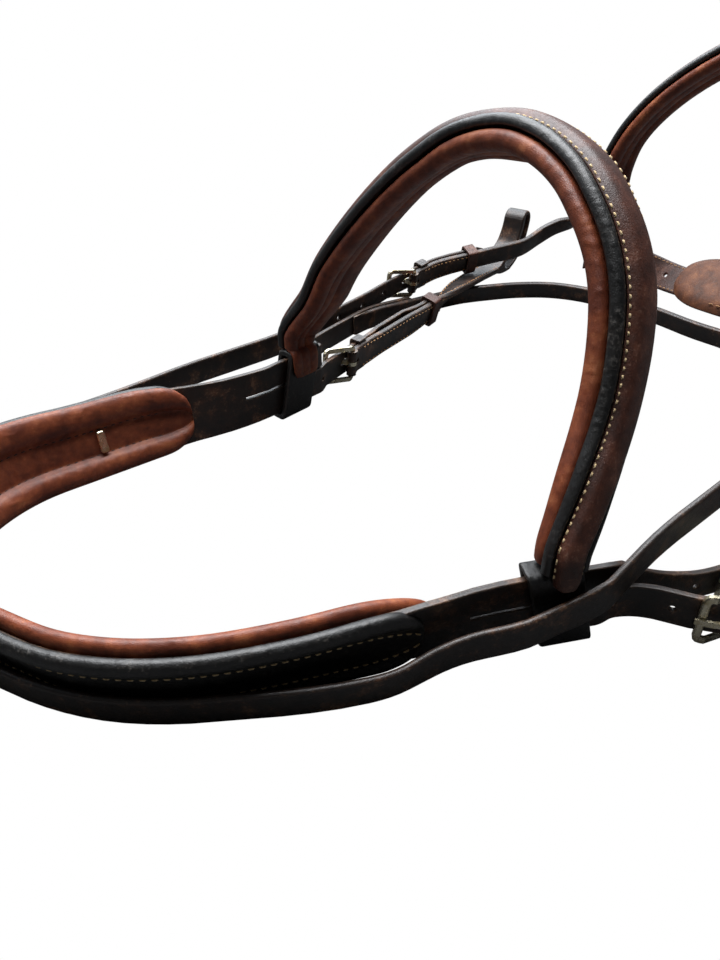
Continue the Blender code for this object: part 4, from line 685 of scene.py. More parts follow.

# %% [markdown]
# Bridle leather is cowhide that is tanned with bark, dressed with wax and grease, and polished on its grain
# side. To the eye it is a deep colour that drifts in blotches about a centimetre across, with a satin
# shine, fine pores and, wherever an edge is rubbed, the paler hide under the dye.
#
# A picture of leather could be wrapped over each strap, but patterns with known sizes stay sharp at any
# distance. Pebbles and pores are really nearer to 0.3 mm. They are drawn at about 1 mm here, because finer
# ones don't show. Every edge is painted paler, partly as rubbed hide and partly as a painted highlight of
# the sheen that a rounded edge catches. An edge is found by comparing the direction of a face with one that
# is rounded over the edge's width.

# %% Leather
BLOTCHES = 90.0  # for each metre, so about 11 mm across
PORES = 800.0  # about 1.3 mm, as coarse as they need to be to show
TONE_STOPS = (0.38, 0.54, 0.68)
# The rubbed edges' paler colour is also a painted highlight of their sheen
RUB_AND_SHEEN_WIDE = 0.0013  # width of a rubbed edge
PEBBLE_DEEP = 0.00025
FAINT, FULL = (0.2, 0.2, 0.2, 1.0), (1.0, 1.0, 1.0, 1.0)
SHINE_PLUS, SHINE_MINUS = 0.12, 0.07  # how far the roughness drifts up and down


def leather(
    name, tones, worn, roughness,
    grain=0.0009, depth=0.00012, crease=0.0003, coat=0.2, wear_and_sheen=0.5, specks=0.35, fold=0.007,
):
    """Leather in three tones. grain is a pebble's size, fold a wrinkle's, crease its depth."""
    made, tree, shader, place = started(name)
    blotch = add(tree, "TexNoise", Vector=place, Scale=BLOTCHES, Detail=6.0, Roughness=0.66).outputs["Fac"]
    fine = add(tree, "TexNoise", Vector=place, Scale=PORES, Detail=3.0, Roughness=0.65).outputs["Fac"]
    cells = {"feature": "DISTANCE_TO_EDGE"}
    pebble = add(tree, "TexVoronoi", cells, Vector=place, Scale=1 / grain).outputs["Distance"]
    ridges = {"noise_type": "RIDGED_MULTIFRACTAL"}
    wrinkle = add(tree, "TexNoise", ridges, Vector=place, Scale=1 / fold, Detail=4.0).outputs["Fac"]
    stops = [(at, linear(code)) for at, code in zip(TONE_STOPS, tones)]
    tone = add(tree, "ValToRGB", stops=stops, i0=blotch).outputs["Color"]

    # Rubbed edges, broken up by the pores, and with them a painted highlight of the edges' sheen
    round_normal = add(tree, "Bevel", {"samples": 4}, Radius=RUB_AND_SHEEN_WIDE).outputs["Normal"]
    flat_normal = add(tree, "NewGeometry").outputs["Normal"]
    dot = {"operation": "DOT_PRODUCT"}
    alike = add(tree, "VectorMath", dot, i0=round_normal, i1=flat_normal).outputs["Value"]
    edge = add(tree, "MapRange", i0=alike, From_Min=0.995, From_Max=0.86, To_Min=0.0, To_Max=wear_and_sheen)
    scuff = add(tree, "ValToRGB", stops=((0.35, FAINT), (0.65, FULL)), i0=fine).outputs["Color"]
    times = {"operation": "MULTIPLY"}
    rubbed_and_sheen = add(tree, "Math", times, i0=edge.outputs["Result"], i1=scuff).outputs["Value"]

    # Worn specks, where a pore and a pale blotch meet
    both = add(tree, "Math", times, i0=fine, i1=blotch).outputs["Value"]
    dots = add(tree, "MapRange", Value=both, From_Min=0.31, From_Max=0.40, To_Min=0.0, To_Max=specks)
    plus = {"operation": "ADD", "use_clamp": True}
    rubbed_and_sheen = add(tree, "Math", plus, i0=rubbed_and_sheen, i1=dots.outputs["Result"]).outputs["Value"]
    mixed = add(tree, "Mix", {"data_type": "RGBA"}, i0=rubbed_and_sheen, i6=tone, i7=linear(worn)).outputs[2]
    tree.links.new(mixed, shader.inputs["Base Color"])

    # A shine that drifts, and three depths of relief
    low, high = roughness - SHINE_MINUS, roughness + SHINE_PLUS
    rough = add(tree, "MapRange", i0=fine, From_Min=0.3, From_Max=0.7, To_Min=low, To_Max=high)
    tree.links.new(rough.outputs["Result"], shader.inputs["Roughness"])
    bump = add(tree, "Bump", Height=pebble, Distance=PEBBLE_DEEP, Strength=0.5).outputs["Normal"]
    bump = add(tree, "Bump", Height=fine, Distance=depth, Strength=0.6, Normal=bump).outputs["Normal"]
    bump = add(tree, "Bump", Height=wrinkle, Distance=crease, Strength=0.5, Normal=bump).outputs["Normal"]
    tree.links.new(bump, shader.inputs["Normal"])
    shader.inputs["Coat Weight"].default_value = coat
    shader.inputs["Coat Roughness"].default_value = 0.38
    return made


# The bands' bases and the headpiece's cover: dyed black, waxed, and creased where it is drawn over padding.
# Its grey edges are partly rubbed and partly a painted highlight of their sheen.
BLACK = leather(
    "black_bridle_leather", ("#060505", "#0d0c0b", "#191411"), "#6a655f", 0.45,
    depth=0.0002, crease=0.0009, coat=0.3, wear_and_sheen=0.5, fold=0.0035,
)
# The straps: a thicker, darker brown with the most wax, rubbed where it passes its buckles, and with the
# most wear and painted sheen along its edges
STRAP = leather(
    "dark_brown_strap_leather", ("#0f0806", "#24150d", "#573620"), "#8a6f58", 0.46,
    depth=0.00016, coat=0.35, wear_and_sheen=0.6, specks=0.45,
)
# The raised strips and the chin strap: a red brown, with less wax, and less wear and painted edge sheen
HAVANA = leather(
    "havana_bridle_leather", ("#32180f", "#48261a", "#5f3727"), "#8a6857", 0.48, coat=0.1, wear_and_sheen=0.3,
)
# The linings: thin soft leather over the padding, almost without wax, so it creases in short wrinkles
TAN = leather(
    "tan_lining_leather", ("#5f2a16", "#7f3f24", "#985532"), "#b5764f", 0.47,
    grain=0.0007, depth=0.00008, crease=0.0008, coat=0.05, wear_and_sheen=0.2, specks=0.2, fold=0.004,
)
# The chin pad: the same soft leather, duller and without any wax, its tones darkened as painted shade
SHADED_CHIN_TAN = leather(
    "shaded_chin_leather", ("#4c2a18", "#66391f", "#7a4a2c"), "#a5714c", 0.62, coat=0.0, wear_and_sheen=0.3,
)
print("leathers:", [made.name for made in (BLACK, STRAP, HAVANA, TAN, SHADED_CHIN_TAN)])

# %% [markdown]
# Saddler's thread is linen or polyester, laid up from several plies and drawn through wax. The wax leaves
# it matt, with a faint bloom of fibres at its edge, which is what sheen draws. Its fibres are a few
# hundredths of a millimetre thick, far too fine to show, so the fuzz is drawn at 0.6 mm.

# %% Thread
FUZZ = 1600.0  # for each metre
FUZZ_DEEP = 0.00012


def thread(name, colour, dark):
    """Waxed thread, with painted shade in the hollows of its fuzz."""
    made, tree, shader, place = started(name)
    fuzz = add(tree, "TexNoise", Vector=place, Scale=FUZZ, Detail=2.0).outputs["Fac"]
    # Painted shade: where the fuzz is low, the thread takes its darker colour
    tone = add(tree, "ValToRGB", stops=((0.3, linear(dark)), (0.65, linear(colour))), i0=fuzz)
    tree.links.new(tone.outputs["Color"], shader.inputs["Base Color"])
    bump = add(tree, "Bump", Height=fuzz, Distance=FUZZ_DEEP, Strength=0.6)
    tree.links.new(bump.outputs["Normal"], shader.inputs["Normal"])
    shader.inputs["Roughness"].default_value = 0.75
    shader.inputs["Sheen Weight"].default_value = 0.3
    return made


CREAM_THREAD = thread("cream_waxed_thread", "#e2c795", "#a98d62")
TAN_THREAD = thread("tan_waxed_thread", "#c08f5c", "#7d5530")
DARK_THREAD = thread("dark_waxed_thread", "#3a241a", "#1d120d")
print("threads:", [made.name for made in (CREAM_THREAD, TAN_THREAD, DARK_THREAD)])

# %% [markdown]
# The buckles are plated with nickel. New plating is a bright, slightly warm mirror. Years of handling leave
# a yellow haze in patches of some millimetres, and fine scratches that spread each highlight. The scratches
# are drawn at 0.4 mm, which is coarser than real ones, and the haze is both duller and rougher than clean
# plating.
#
# The solids of the model get these materials too. They are only seen where no finer piece stands for them,
# as at the buckles, their tongues and the staples.

# %% Nickel
HAZE = 260.0  # for each metre, so about 4 mm across
SCRATCHES = 2600.0
SCRATCH_DEEP = 0.00003
HAZE_ROUGH = 0.12  # how much rougher the haze is


def metal(name, colour, worn, roughness):
    """Polished metal with a worn haze over it."""
    made, tree, shader, place = started(name)
    haze = add(tree, "TexNoise", Vector=place, Scale=HAZE, Detail=4.0).outputs["Fac"]
    scratch = add(tree, "TexNoise", Vector=place, Scale=SCRATCHES, Detail=2.0).outputs["Fac"]
    tone = add(tree, "ValToRGB", stops=((0.35, linear(worn)), (0.6, linear(colour))), i0=haze)
    tree.links.new(tone.outputs["Color"], shader.inputs["Base Color"])
    dull = roughness + HAZE_ROUGH
    rough = add(tree, "MapRange", i0=haze, From_Min=0.3, From_Max=0.7, To_Min=dull, To_Max=roughness)
    tree.links.new(rough.outputs["Result"], shader.inputs["Roughness"])
    bump = add(tree, "Bump", Height=scratch, Distance=SCRATCH_DEEP, Strength=0.4)
    tree.links.new(bump.outputs["Normal"], shader.inputs["Normal"])
    shader.inputs["Metallic"].default_value = 1.0
    return made


NICKEL = metal("worn_nickel", "#ebe2c8", "#c4b48f", 0.22)
INSIDES = {"black_leather": BLACK, "brown_leather": HAVANA, "tan_leather": TAN, "nickel": NICKEL}
for item in frame["record"]["subparts"]:
    target = frame["nodes"][item["node"]]
    target.data.materials.clear()
    target.data.materials.append(INSIDES[item["material_slot"]])

# %% [markdown]
# ## Leather work
#
# A saddler marks a strap on flat hide, cuts it out, rounds its edges and punches it. Here that is a filled
# curve: its first spline is the outline and the others are the holes, so no boolean cut is needed, and its
# bevel rounds every edge, the holes' too. Each helper below draws one kind of outline.

# %% Outlines
TIP_SHARE = 0.38  # a blunt point turns in at this share of its length
TIP_WIDTH_SHARE = 0.66  # where it is still this share of the strap's width
TIP_FLAT_SHARE = 0.22  # and its very end is this share


def rounded(x0, x1, y0, y1, radius, steps=3):
    """A rectangle with rounded corners, anticlockwise."""
    points = []
    for cx, cy, first in ((x1, y1, 0), (x0, y1, 90), (x0, y0, 180), (x1, y0, 270)):
        ox = cx - radius if cx == x1 else cx + radius
        oy = cy - radius if cy == y1 else cy + radius
        for k in range(steps + 1):
            a = math.radians(first + 90 * k / steps)
            points.append((ox + radius * math.cos(a), oy + radius * math.sin(a)))
    return points


def circle(x, y, rx, ry=None, steps=16):
    """A circle, or an ellipse if its second radius is given."""
    ry = rx if ry is None else ry
    around = [2 * math.pi * k / steps for k in range(steps)]
    return [(x + rx * math.cos(a), y + ry * math.sin(a)) for a in around]


def pointed(x0, x1, half, tip):
    """The outline of a strap end: square at x0, brought to a blunt point at x1."""
    way = 1 if x1 > x0 else -1
    turn = x1 - way * tip * TIP_SHARE
    lower = [
        (x0, -half),
        (x1 - way * tip, -half),
        (turn, -half * TIP_WIDTH_SHARE),
        (x1, -half * TIP_FLAT_SHARE),
    ]
    return lower + [(x, -y) for x, y in lower[::-1]]


print("a strap's end has", len(pointed(0, 1, 1, 1)), "corners")

# %% Cutting flat
WELD = 0.000002  # points nearer than this become one
FLAT_DEG = 1.0  # faces that turn less than this from one another become one
EDGE_ROUND = 0.0013  # rounding of a cut edge


def linked(name, data):
    """A new object in the scene."""
    obj = bpy.data.objects.new(name, data)
    bpy.context.scene.collection.objects.link(obj)
    return obj


def baked(obj):
    """The mesh that an object gives with its modifiers. The object itself is taken away."""
    graph = bpy.context.evaluated_depsgraph_get()
    mesh = bpy.data.meshes.new_from_object(obj.evaluated_get(graph))
    bpy.data.objects.remove(obj, do_unlink=True)
    return mesh


def cut_flat(outlines, low, high, bevel=0.0, rounds=3):
    """A flat piece cut to the first outline, with the others punched through, from z = low to high."""
    curve = bpy.data.curves.new("cut", "CURVE")
    curve.dimensions = "2D"
    curve.fill_mode = "BOTH"
    curve.extrude = (high - low) / 2 - bevel
    curve.bevel_depth = bevel
    curve.offset = -bevel
    curve.bevel_resolution = rounds
    for k, points in enumerate(outlines):
        turn = sum(a[0] * b[1] - b[0] * a[1] for a, b in zip(points, points[1:] + points[:1]))
        points = points if (turn > 0) == (k == 0) else points[::-1]
        spline = curve.splines.new("POLY")
        spline.points.add(len(points) - 1)
        for target, (x, y) in zip(spline.points, points):
            target.co = (x, y, 0, 1)
        spline.use_cyclic_u = True
    mesh = baked(linked("cut", curve))
    work = bmesh.new()
    work.from_mesh(mesh)
    bmesh.ops.remove_doubles(work, verts=work.verts, dist=WELD)
    bmesh.ops.translate(work, verts=work.verts, vec=(0, 0, (low + high) / 2))
    bmesh.ops.dissolve_limit(work, angle_limit=math.radians(FLAT_DEG), verts=work.verts, edges=work.edges)
    work.to_mesh(mesh)
    work.free()
    return mesh


def turned(mesh):
    """A piece drawn from the side: its Y becomes the height off the face and its Z the strap's width."""
    mesh.transform(Matrix(((1, 0, 0, 0), (0, 0, -1, 0), (0, 1, 0, 0), (0, 0, 0, 1))))
    return mesh


def cut_box(mesh, corners):
    """Takes a box, given by two opposite corners, out of a flat piece."""
    middle = [(a + b) / 2 for a, b in zip(*corners)]
    size = [b - a for a, b in zip(*corners)]
    obj = linked("work", mesh)
    bpy.ops.mesh.primitive_cube_add(size=1)
    tool = bpy.context.object
    tool.matrix_world = Matrix.Translation(middle) @ Matrix.Diagonal((*size, 1))
    change = obj.modifiers.new("cut", "BOOLEAN")
    change.operation = "DIFFERENCE"
    change.solver = "EXACT"
    change.object = tool
    result = baked(obj)
    bpy.data.objects.remove(tool, do_unlink=True)
    return result


print("cut edges are rounded by", EDGE_ROUND * 1000, "mm")

# %% [markdown]
# The flat piece is then sliced across wherever its route bends, and its points are carried over to the
# route. A curve modifier could do that too, but it follows one tilt and doesn't keep to a route's own width
# directions. Slices are placed only where the line turns, so a straight run costs no more than its two
# ends.

# %% Bending
ON_PLANE = 0.00001  # a point this near a slice counts as on it


def slice_across(work, x, low=None, high=None):
    """Cuts a flat piece across at x, over the whole width or only below high or above low."""
    mids = [(f, f.calc_center_median().y) for f in work.faces]
    faces = [f for f, y in mids if (high is None or y < high) and (low is None or y > low)]
    edges = {e for f in faces for e in f.edges}
    verts = {v for f in faces for v in f.verts}
    bmesh.ops.bisect_plane(
        work, geom=list(verts) + list(edges) + faces, dist=ON_PLANE, plane_co=(x, 0, 0), plane_no=(1, 0, 0)
    )


def finished(work):
    """A mesh of the piece at the bench, with its faces turned outwards."""
    bmesh.ops.remove_doubles(work, verts=work.verts, dist=WELD)
    bmesh.ops.recalc_face_normals(work, faces=work.faces)
    out = bpy.data.meshes.new("made")
    work.to_mesh(out)
    work.free()
    return out


def bend(mesh, route, start, way=1):
    """Bends a flat piece along a route: X runs from start, Y across, Z out."""
    work = bmesh.new()
    work.from_mesh(mesh)
    xs = [v.co.x for v in work.verts]
    ends = sorted((start + way * min(xs), start + way * max(xs)))
    for s in route.fine(*ends)[1:-1]:
        slice_across(work, way * (s - start))
    co = np.array([v.co for v in work.verts])
    for vert, place in zip(work.verts, route.at(start + way * co[:, 0], way * co[:, 1], co[:, 2])):
        vert.co = place
    return finished(work)


print("slices across the headpiece between its ends:", len(crown.fine(0.0, crown.long)))

# %% [markdown]
# Padded work isn't cut from one thickness, so it is lofted instead, from rings of places that share their
# count.
#
# A finished mesh becomes a piece when it rides on its body and takes the place of the model's solid there.
# Sharp edges are kept by their angle. The loops, keepers and runners are stiff, so they are the model's own
# solids with their edges rounded over.

# %% Pieces
SHARP_DEG = 38.0  # edges that turn more than this are drawn sharp
SOFTENED_DEG = 50.0  # and on the rounded solids
CORNER_DEG = 35.0  # a solid's edges that turn more than this are rounded
SOLID_FLAT_DEG = 2.0  # and its faces that turn less than this become one


def loft(rings):
    """A closed body of quads through rings of places."""
    work = bmesh.new()
    made = [[work.verts.new(p) for p in ring] for ring in rings]
    for a, b in zip(made, made[1:]):
        for i in range(len(a)):
            j = (i + 1) % len(a)
            work.faces.new((a[i], a[j], b[j], b[i]))
    work.faces.new(made[0])
    work.faces.new(made[-1])
    bmesh.ops.recalc_face_normals(work, faces=work.faces)
    out = bpy.data.meshes.new("loft")
    work.to_mesh(out)
    work.free()
    return out


def piece(name, mesh, material, body, nodes=(), smooth_deg=SHARP_DEG, subdivide=0):
    """A visual piece on a body, standing for the solids named in nodes."""
    obj = linked(name, mesh)
    mesh.materials.clear()
    mesh.materials.append(material)
    if subdivide:
        mesh.shade_smooth()
        change = obj.modifiers.new("rounder", "SUBSURF")
        change.levels = change.render_levels = subdivide
    else:
        mesh.set_sharp_from_angle(angle=math.radians(smooth_deg))
        change = obj.modifiers.new("even", "WEIGHTED_NORMAL")
        change.keep_sharp = True
    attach(obj, body)
    if nodes:
        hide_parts(*nodes)
    return obj


def softened(node, material, edge):
    """A solid of the model with its cut edges rounded over."""
    source = frame["nodes"][node]
    mesh = source.data.copy()
    work = bmesh.new()
    work.from_mesh(mesh)
    bmesh.ops.remove_doubles(work, verts=work.verts, dist=WELD)
    flat, corner = math.radians(SOLID_FLAT_DEG), math.radians(CORNER_DEG)
    bmesh.ops.dissolve_limit(work, angle_limit=flat, verts=work.verts, edges=work.edges)
    sharp = [e for e in work.edges if len(e.link_faces) == 2 and e.calc_face_angle() > corner]
    bmesh.ops.bevel(
        work, geom=sharp, offset=edge, segments=2, affect="EDGES", profile=0.5, clamp_overlap=True
    )
    bmesh.ops.recalc_face_normals(work, faces=work.faces)
    work.to_mesh(mesh)
    work.free()
    return piece("fine_" + node, mesh, material, source["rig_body"], (node,), SOFTENED_DEG)


# %% [markdown]
# ## Stitching
#
# A sewn seam is a row of short stitches with a gap between each two, where the thread goes down through its
# hole. A dashed line could be drawn on the leather, but real stitches stand up, catch the light and cast
# small shadows. So each one is a small capsule, thinner and sunk at its two ends. All the stitches of a
# seam are one mesh, and they are drawn a little thicker than thread, so that they show.

# %% Stitches
STITCH_RINGS = ((-0.5, 0.35), (-0.30, 1.0), (0.30, 1.0), (0.5, 0.35))  # shares of its length and thickness
STITCH_SIDES = 6
STITCH_LONG_SHARE = 0.62  # share of the pitch that a stitch covers
STITCH_HIGH_SHARE = 0.42
STITCH_SUNK_SHARE = 0.30
WIDE_PITCH = 0.0036  # from one stitch to the next
FINE_PITCH = 0.0028


def seam(route, start, end, y, z, pitch=WIDE_PITCH):
    """A row of stitches along a route, at y across it and z out of it, each a value or a function of s."""
    s = np.linspace(start, end, max(2, int(round(abs(end - start) / pitch)) + 1))
    ys = np.array([y(v) if callable(y) else y for v in s])
    zs = np.array([z(v) if callable(z) else z for v in s])
    p = route.at(s, ys, zs)
    n = route.frame(s)[3] * (1 if np.mean(zs) >= 0 else -1)
    return [(p[i], p[i + 1], n[i]) for i in range(len(p) - 1)]


def stitch(a, b, out, thick):
    """The places of one stitch from a to b, ring by ring."""
    mid = (a + b) / 2
    along = (b - a) * STITCH_LONG_SHARE
    up = out / np.linalg.norm(out)
    side = np.cross(along / np.linalg.norm(along), up)
    places = []
    for share, fat in STITCH_RINGS:
        sunk = -STITCH_SUNK_SHARE * thick * (fat < 1)
        for k in range(STITCH_SIDES):
            turn = 2 * math.pi * k / STITCH_SIDES
            about = side * math.cos(turn) * 0.5 + up * math.sin(turn) * STITCH_HIGH_SHARE
            places.append(mid + along * share + about * thick * fat + up * sunk)
    return places


def stitch_rows(name, rows, body, material, thick=0.0008):
    """One piece with all the stitches of its rows, each a list of (place, next place, outward)."""
    verts, faces = [], []
    last = (len(STITCH_RINGS) - 1) * STITCH_SIDES
    for a, b, out in (stitched for row in rows for stitched in row):
        base = len(verts)
        verts += stitch(a, b, out, thick)
        for ring in range(base, base + last, STITCH_SIDES):
            for k in range(STITCH_SIDES):
                j = (k + 1) % STITCH_SIDES
                faces.append((ring + k, ring + j, ring + STITCH_SIDES + j, ring + STITCH_SIDES + k))
        faces.append([base + k for k in range(STITCH_SIDES)][::-1])
        faces.append([base + last + k for k in range(STITCH_SIDES)])
    mesh = bpy.data.meshes.new(name)
    mesh.from_pydata([tuple(v) for v in verts], [], faces)
    mesh.update()
    mesh.shade_smooth()
    obj = linked(name, mesh)
    mesh.materials.append(material)
    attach(obj, body)
    print(name, "stitches:", sum(len(row) for row in rows))


print("a stitch covers", round(WIDE_PITCH * STITCH_LONG_SHARE * 1000, 1), "mm of a wide pitch")

# %% [markdown]
# ## The headpiece
#
# The headpiece goes over the poll and carries everything else. It is one strap, slit at each end into a
# cheek billet and a throat billet, and most billets are punched for a buckle. Four straps could be joined
# to a fifth, but the real slits can be seen on both sides of the browband's loops, and one cut piece has
# them by itself.
#
# So the whole outline is drawn flat. Its X is the place along the headpiece, and past a slit it runs on at
# the pace of the billet's own route.

# %% The headpiece cut flat
HOLE_RADIUS = 0.0020
HOLE_SHARE = 0.6  # the spare holes have closed up to this share of it
HOLE_PITCH = 0.0240
TONGUE_HOLE_LONG = 0.0042
TONGUE_HOLE_MID = -0.0022
SLIT_RUN = 0.0330  # a slit starts this far before the middle of its loop
LAP_LONG = 0.0500  # the throatlatch's sewn lap
THROAT_LAP = throat.knots[29]


def billet_holes(hinge_x, way, mid, before=2, after=2):
    """Punched holes about a buckle: a long one for its tongue and round ones either side."""
    holes = [circle(hinge_x + way * TONGUE_HOLE_MID, mid, TONGUE_HOLE_LONG, HOLE_RADIUS)]
    for k in list(range(-before, 0)) + list(range(1, after + 1)):
        hole_x = hinge_x + way * (TONGUE_HOLE_MID + k * HOLE_PITCH)
        holes.append(circle(hole_x, mid, HOLE_RADIUS * HOLE_SHARE))
    return holes


def crown_x(route_s, route, near):
    """The flat headpiece's X at a place along one of its billets' routes."""
    if near:
        return route_s + NEAR_PART - BLEND
    return FAR_PART + BLEND - (route.long - route_s)


def billet(loop, end, width, mid):
    """The outline of one billet from its first side to its last, without the square end at its loop."""
    return [(x, y + mid) for x, y in pointed(loop, end, width / 2, TIP_LONG)[1:-1]]


def headpiece_outline():
    """The flat headpiece's outline, and its holes."""
    far_cheek_x = crown_x(FAR_CHEEK_HINGE, far_cheek, False)
    near_cheek_x = crown_x(NEAR_CHEEK_HINGE, near_cheek, True)
    far_throat_x = crown_x(THROAT_LAP, throat, False)
    near_throat_x = crown_x(THROAT_HINGE, throat, True)
    outline = billet(NEAR_LOOP, near_cheek_x + PAST_CHEEK, CHEEK_BILLET, CHEEK_MID)
    outline[-1] = (near_cheek_x + PAST_CHEEK - TIP_LONG, SLIT_LOW)
    outline += [(NEAR_LOOP - SLIT_RUN, SLIT_LOW), (NEAR_LOOP - SLIT_RUN, SLIT_HIGH)]
    outline += billet(NEAR_LOOP, near_throat_x + PAST_THROAT, THROAT_BILLET, THROAT_MID)
    outline += billet(FAR_LOOP, far_throat_x - LAP_LONG, THROAT_BILLET, THROAT_MID)[::-1]
    outline += [(FAR_LOOP + SLIT_RUN, SLIT_HIGH), (FAR_LOOP + SLIT_RUN, SLIT_LOW)]
    outline += billet(FAR_LOOP, far_cheek_x - PAST_CHEEK, CHEEK_BILLET, CHEEK_MID)[::-1]
    holes = billet_holes(near_cheek_x, 1, CHEEK_MID) + billet_holes(far_cheek_x, -1, CHEEK_MID)
    return outline, holes + billet_holes(near_throat_x, 1, THROAT_MID, before=1, after=1)


HEAD_OUTLINE, HEAD_HOLES = headpiece_outline()
print("headpiece cut flat:", len(HEAD_OUTLINE), "corners and", len(HEAD_HOLES), "holes")

# %% [markdown]
# Where a billet leaves the headpiece, its points are blended from the one route to the other. The far cheek
# billet also bows out between its keeper and its runner, because a billet is a little longer than the strap
# under it.

# %% The headpiece bent
BILLET_BOW = 0.0040


def eased(share):
    """A share that starts and stops gently."""
    share = np.clip(share, 0, 1)
    return share * share * (3 - 2 * share)


def bow(s, z):
    """The far cheek billet bows out between its keeper and its runner."""
    low = FAR_CHEEK_HINGE - CHEEK_RUNNER_AT + KEEPER_LONG
    high = FAR_CHEEK_HINGE - KEEPER_AT - KEEPER_LONG
    share = np.clip((s - low) / (high - low), 0, 1)
    return z + BILLET_BOW * np.sin(math.pi * share) ** 2


def billet_split(s, y, z, placed):
    """Moves the four billets off the headpiece's line, each onto its own route."""
    out = placed.copy()
    for chosen, mid, far_route, near_route in (
        (y < SLIT_MID, CHEEK_MID, far_cheek, near_cheek),
        (y > SLIT_MID, THROAT_MID, throat, throat),
    ):
        far_s = far_route.long - (FAR_PART + BLEND - s)
        far_b = eased((FAR_PART + BLEND - s) / BLEND)[:, None]
        near_s = s - (NEAR_PART - BLEND)
        near_b = eased((s - NEAR_PART + BLEND) / BLEND)[:, None]
        far_place = far_route.at(far_s, y - mid, bow(far_s, z) if far_route is far_cheek else z)
        near_place = near_route.at(near_s, y - mid, z)
        far_on = chosen & (s < FAR_PART + BLEND)
        near_on = chosen & (s > NEAR_PART - BLEND)
        out[far_on] = ((1 - far_b) * placed + far_b * far_place)[far_on]
        out[near_on] = ((1 - near_b) * placed + near_b * near_place)[near_on]
    return out


def headpiece_strap():
    """The flat headpiece, sliced where its routes bend, widened between the billets and laid in place."""
    work = bmesh.new()
    work.from_mesh(cut_flat([HEAD_OUTLINE] + HEAD_HOLES, 0.0, CROWN_THICK, EDGE_ROUND / 2))
    xs = [v.co.x for v in work.verts]
    for s in crown.fine(FAR_PART + BLEND, NEAR_PART - BLEND):
        slice_across(work, s)
    start = FAR_PART + BLEND - min(xs)
    for route, low, high in ((far_cheek, None, SLIT_MID), (throat, SLIT_MID, None)):
        for s in route.fine(route.long - start, route.long)[1:-1]:
            slice_across(work, crown_x(s, route, False), low, high)
    for route, low, high in ((near_cheek, None, SLIT_MID), (throat, SLIT_MID, None)):
        for s in route.fine(0.0, max(xs) - NEAR_PART + BLEND)[1:-1]:
            slice_across(work, crown_x(s, route, True), low, high)
    co = np.array([v.co for v in work.verts])
    whole = (co[:, 0] > FAR_PART) & (co[:, 0] < NEAR_PART)
    y = co[:, 1] * np.where(whole, crown_width(co[:, 0]), 1.0)
    placed = billet_split(co[:, 0], y, co[:, 2], crown.at(co[:, 0], y, co[:, 2]))
    for vert, place in zip(work.verts, placed):
        vert.co = place
    return finished(work)


made = piece("headpiece_strap", headpiece_strap(), STRAP, "bridle", ("headpiece_crown",))
print("headpiece strap:", len(made.data.vertices), "places")

# %% [markdown]
# ## Padded work
#
# Under the headpiece lies a lining of soft leather over felt, in two rolls with a wide sewn channel between
# them, and on its outside a black cover is drawn over two raised edges. Cloth or sculpting tools could puff
# them up, but a pad keeps one section from end to end. So the section is drawn once, as shares of its half
# width and thickness, swept along the route, and drawn in at its two ends. One step of subdivision then
# rounds it.

# %% Pads
PAD_SECTION = (
    (-0.90, 0.0), (-0.45, 0.0), (0.0, 0.0), (0.45, 0.0), (0.95, 0.0), (1.10, 0.20), (1.17, 0.55),
    (1.12, 0.88), (0.96, 1.06), (0.74, 1.06), (0.54, 0.92), (0.42, 0.58), (0.36, 0.36), (0.28, 0.44),
    (0.0, 0.52), (-0.28, 0.44), (-0.35, 0.36), (-0.40, 0.60), (-0.50, 0.95), (-0.66, 1.06), (-0.84, 1.02),
    (-0.98, 0.82), (-1.03, 0.50), (-1.0, 0.22),
)
COVER_SECTION = (
    (-0.96, 0.0), (-0.4, 0.0), (0.4, 0.0), (0.99, 0.0), (1.03, -0.84), (1.10, -0.70), (1.15, -0.20),
    (1.13, 0.35), (1.05, 0.78), (0.92, 0.92), (0.78, 0.84), (0.67, 0.60), (0.58, 0.42), (0.46, 0.46),
    (0.0, 0.50), (-0.46, 0.46), (-0.55, 0.40), (-0.62, 0.48), (-0.70, 0.74), (-0.80, 1.00), (-0.92, 1.02),
    (-1.01, 0.80), (-1.03, 0.40),
)
FINE_TIP_SHARES = (0.0, 0.04, 0.12, 0.24, 0.4, 0.6, 0.8, 1.0)
LINING_FILL, COVER_FILL = 0.7, 0.8
FACING_THICK = 0.0032
CROWN_PAD_THICK = 0.0060
LINING_PAST = 0.0050  # the headpiece's lining runs on this far past its near end
LINING_TIP = 0.0360
END_SHARE = 0.30  # a lining's end is this share of its full width
POINT_SHARE = 0.16  # and the cover's, which is drawn to a point


def padded_mesh(route, start, end, half, base, thick, section, tip, end_share, first=(), flare=None):
    """A pad along a route, with drawn-in ends.

    first holds rings ahead of it, each a place, a share, a base and a thickness.
    flare, a function of the place, widens the pad on its upper side alone.
    """
    tip, end_tip = tip if isinstance(tip, tuple) else (tip, tip)
    ends = [start + tip * v for v in FINE_TIP_SHARES] + [end - end_tip * v for v in FINE_TIP_SHARES]
    inside = [s for s in route.fine(start, end) if start + tip < s < end - end_tip]
    across, deep = np.array(section).T
    rings = []
    for s, share, low, thin in first:
        wide = half(max(s, 0)) * share
        rings.append(route.at(np.full(len(section), s), across * wide, low + deep * thin))
    for s in sorted(ends + inside):
        near_end = min((s - start) / tip, (end - s) / end_tip)
        arch = math.sqrt(max(0.0, 1 - (1 - near_end) ** 2))
        full = 1.0 if near_end >= 1 else end_share + (1 - end_share) * arch
        height = thick * (end_share + (1 - end_share) * full)
        wide = half(s) + (np.maximum(across, 0) * flare(s) if flare else 0)
        rings.append(route.at(np.full(len(section), s), across * wide * full, base + deep * height))
    return loft(rings)


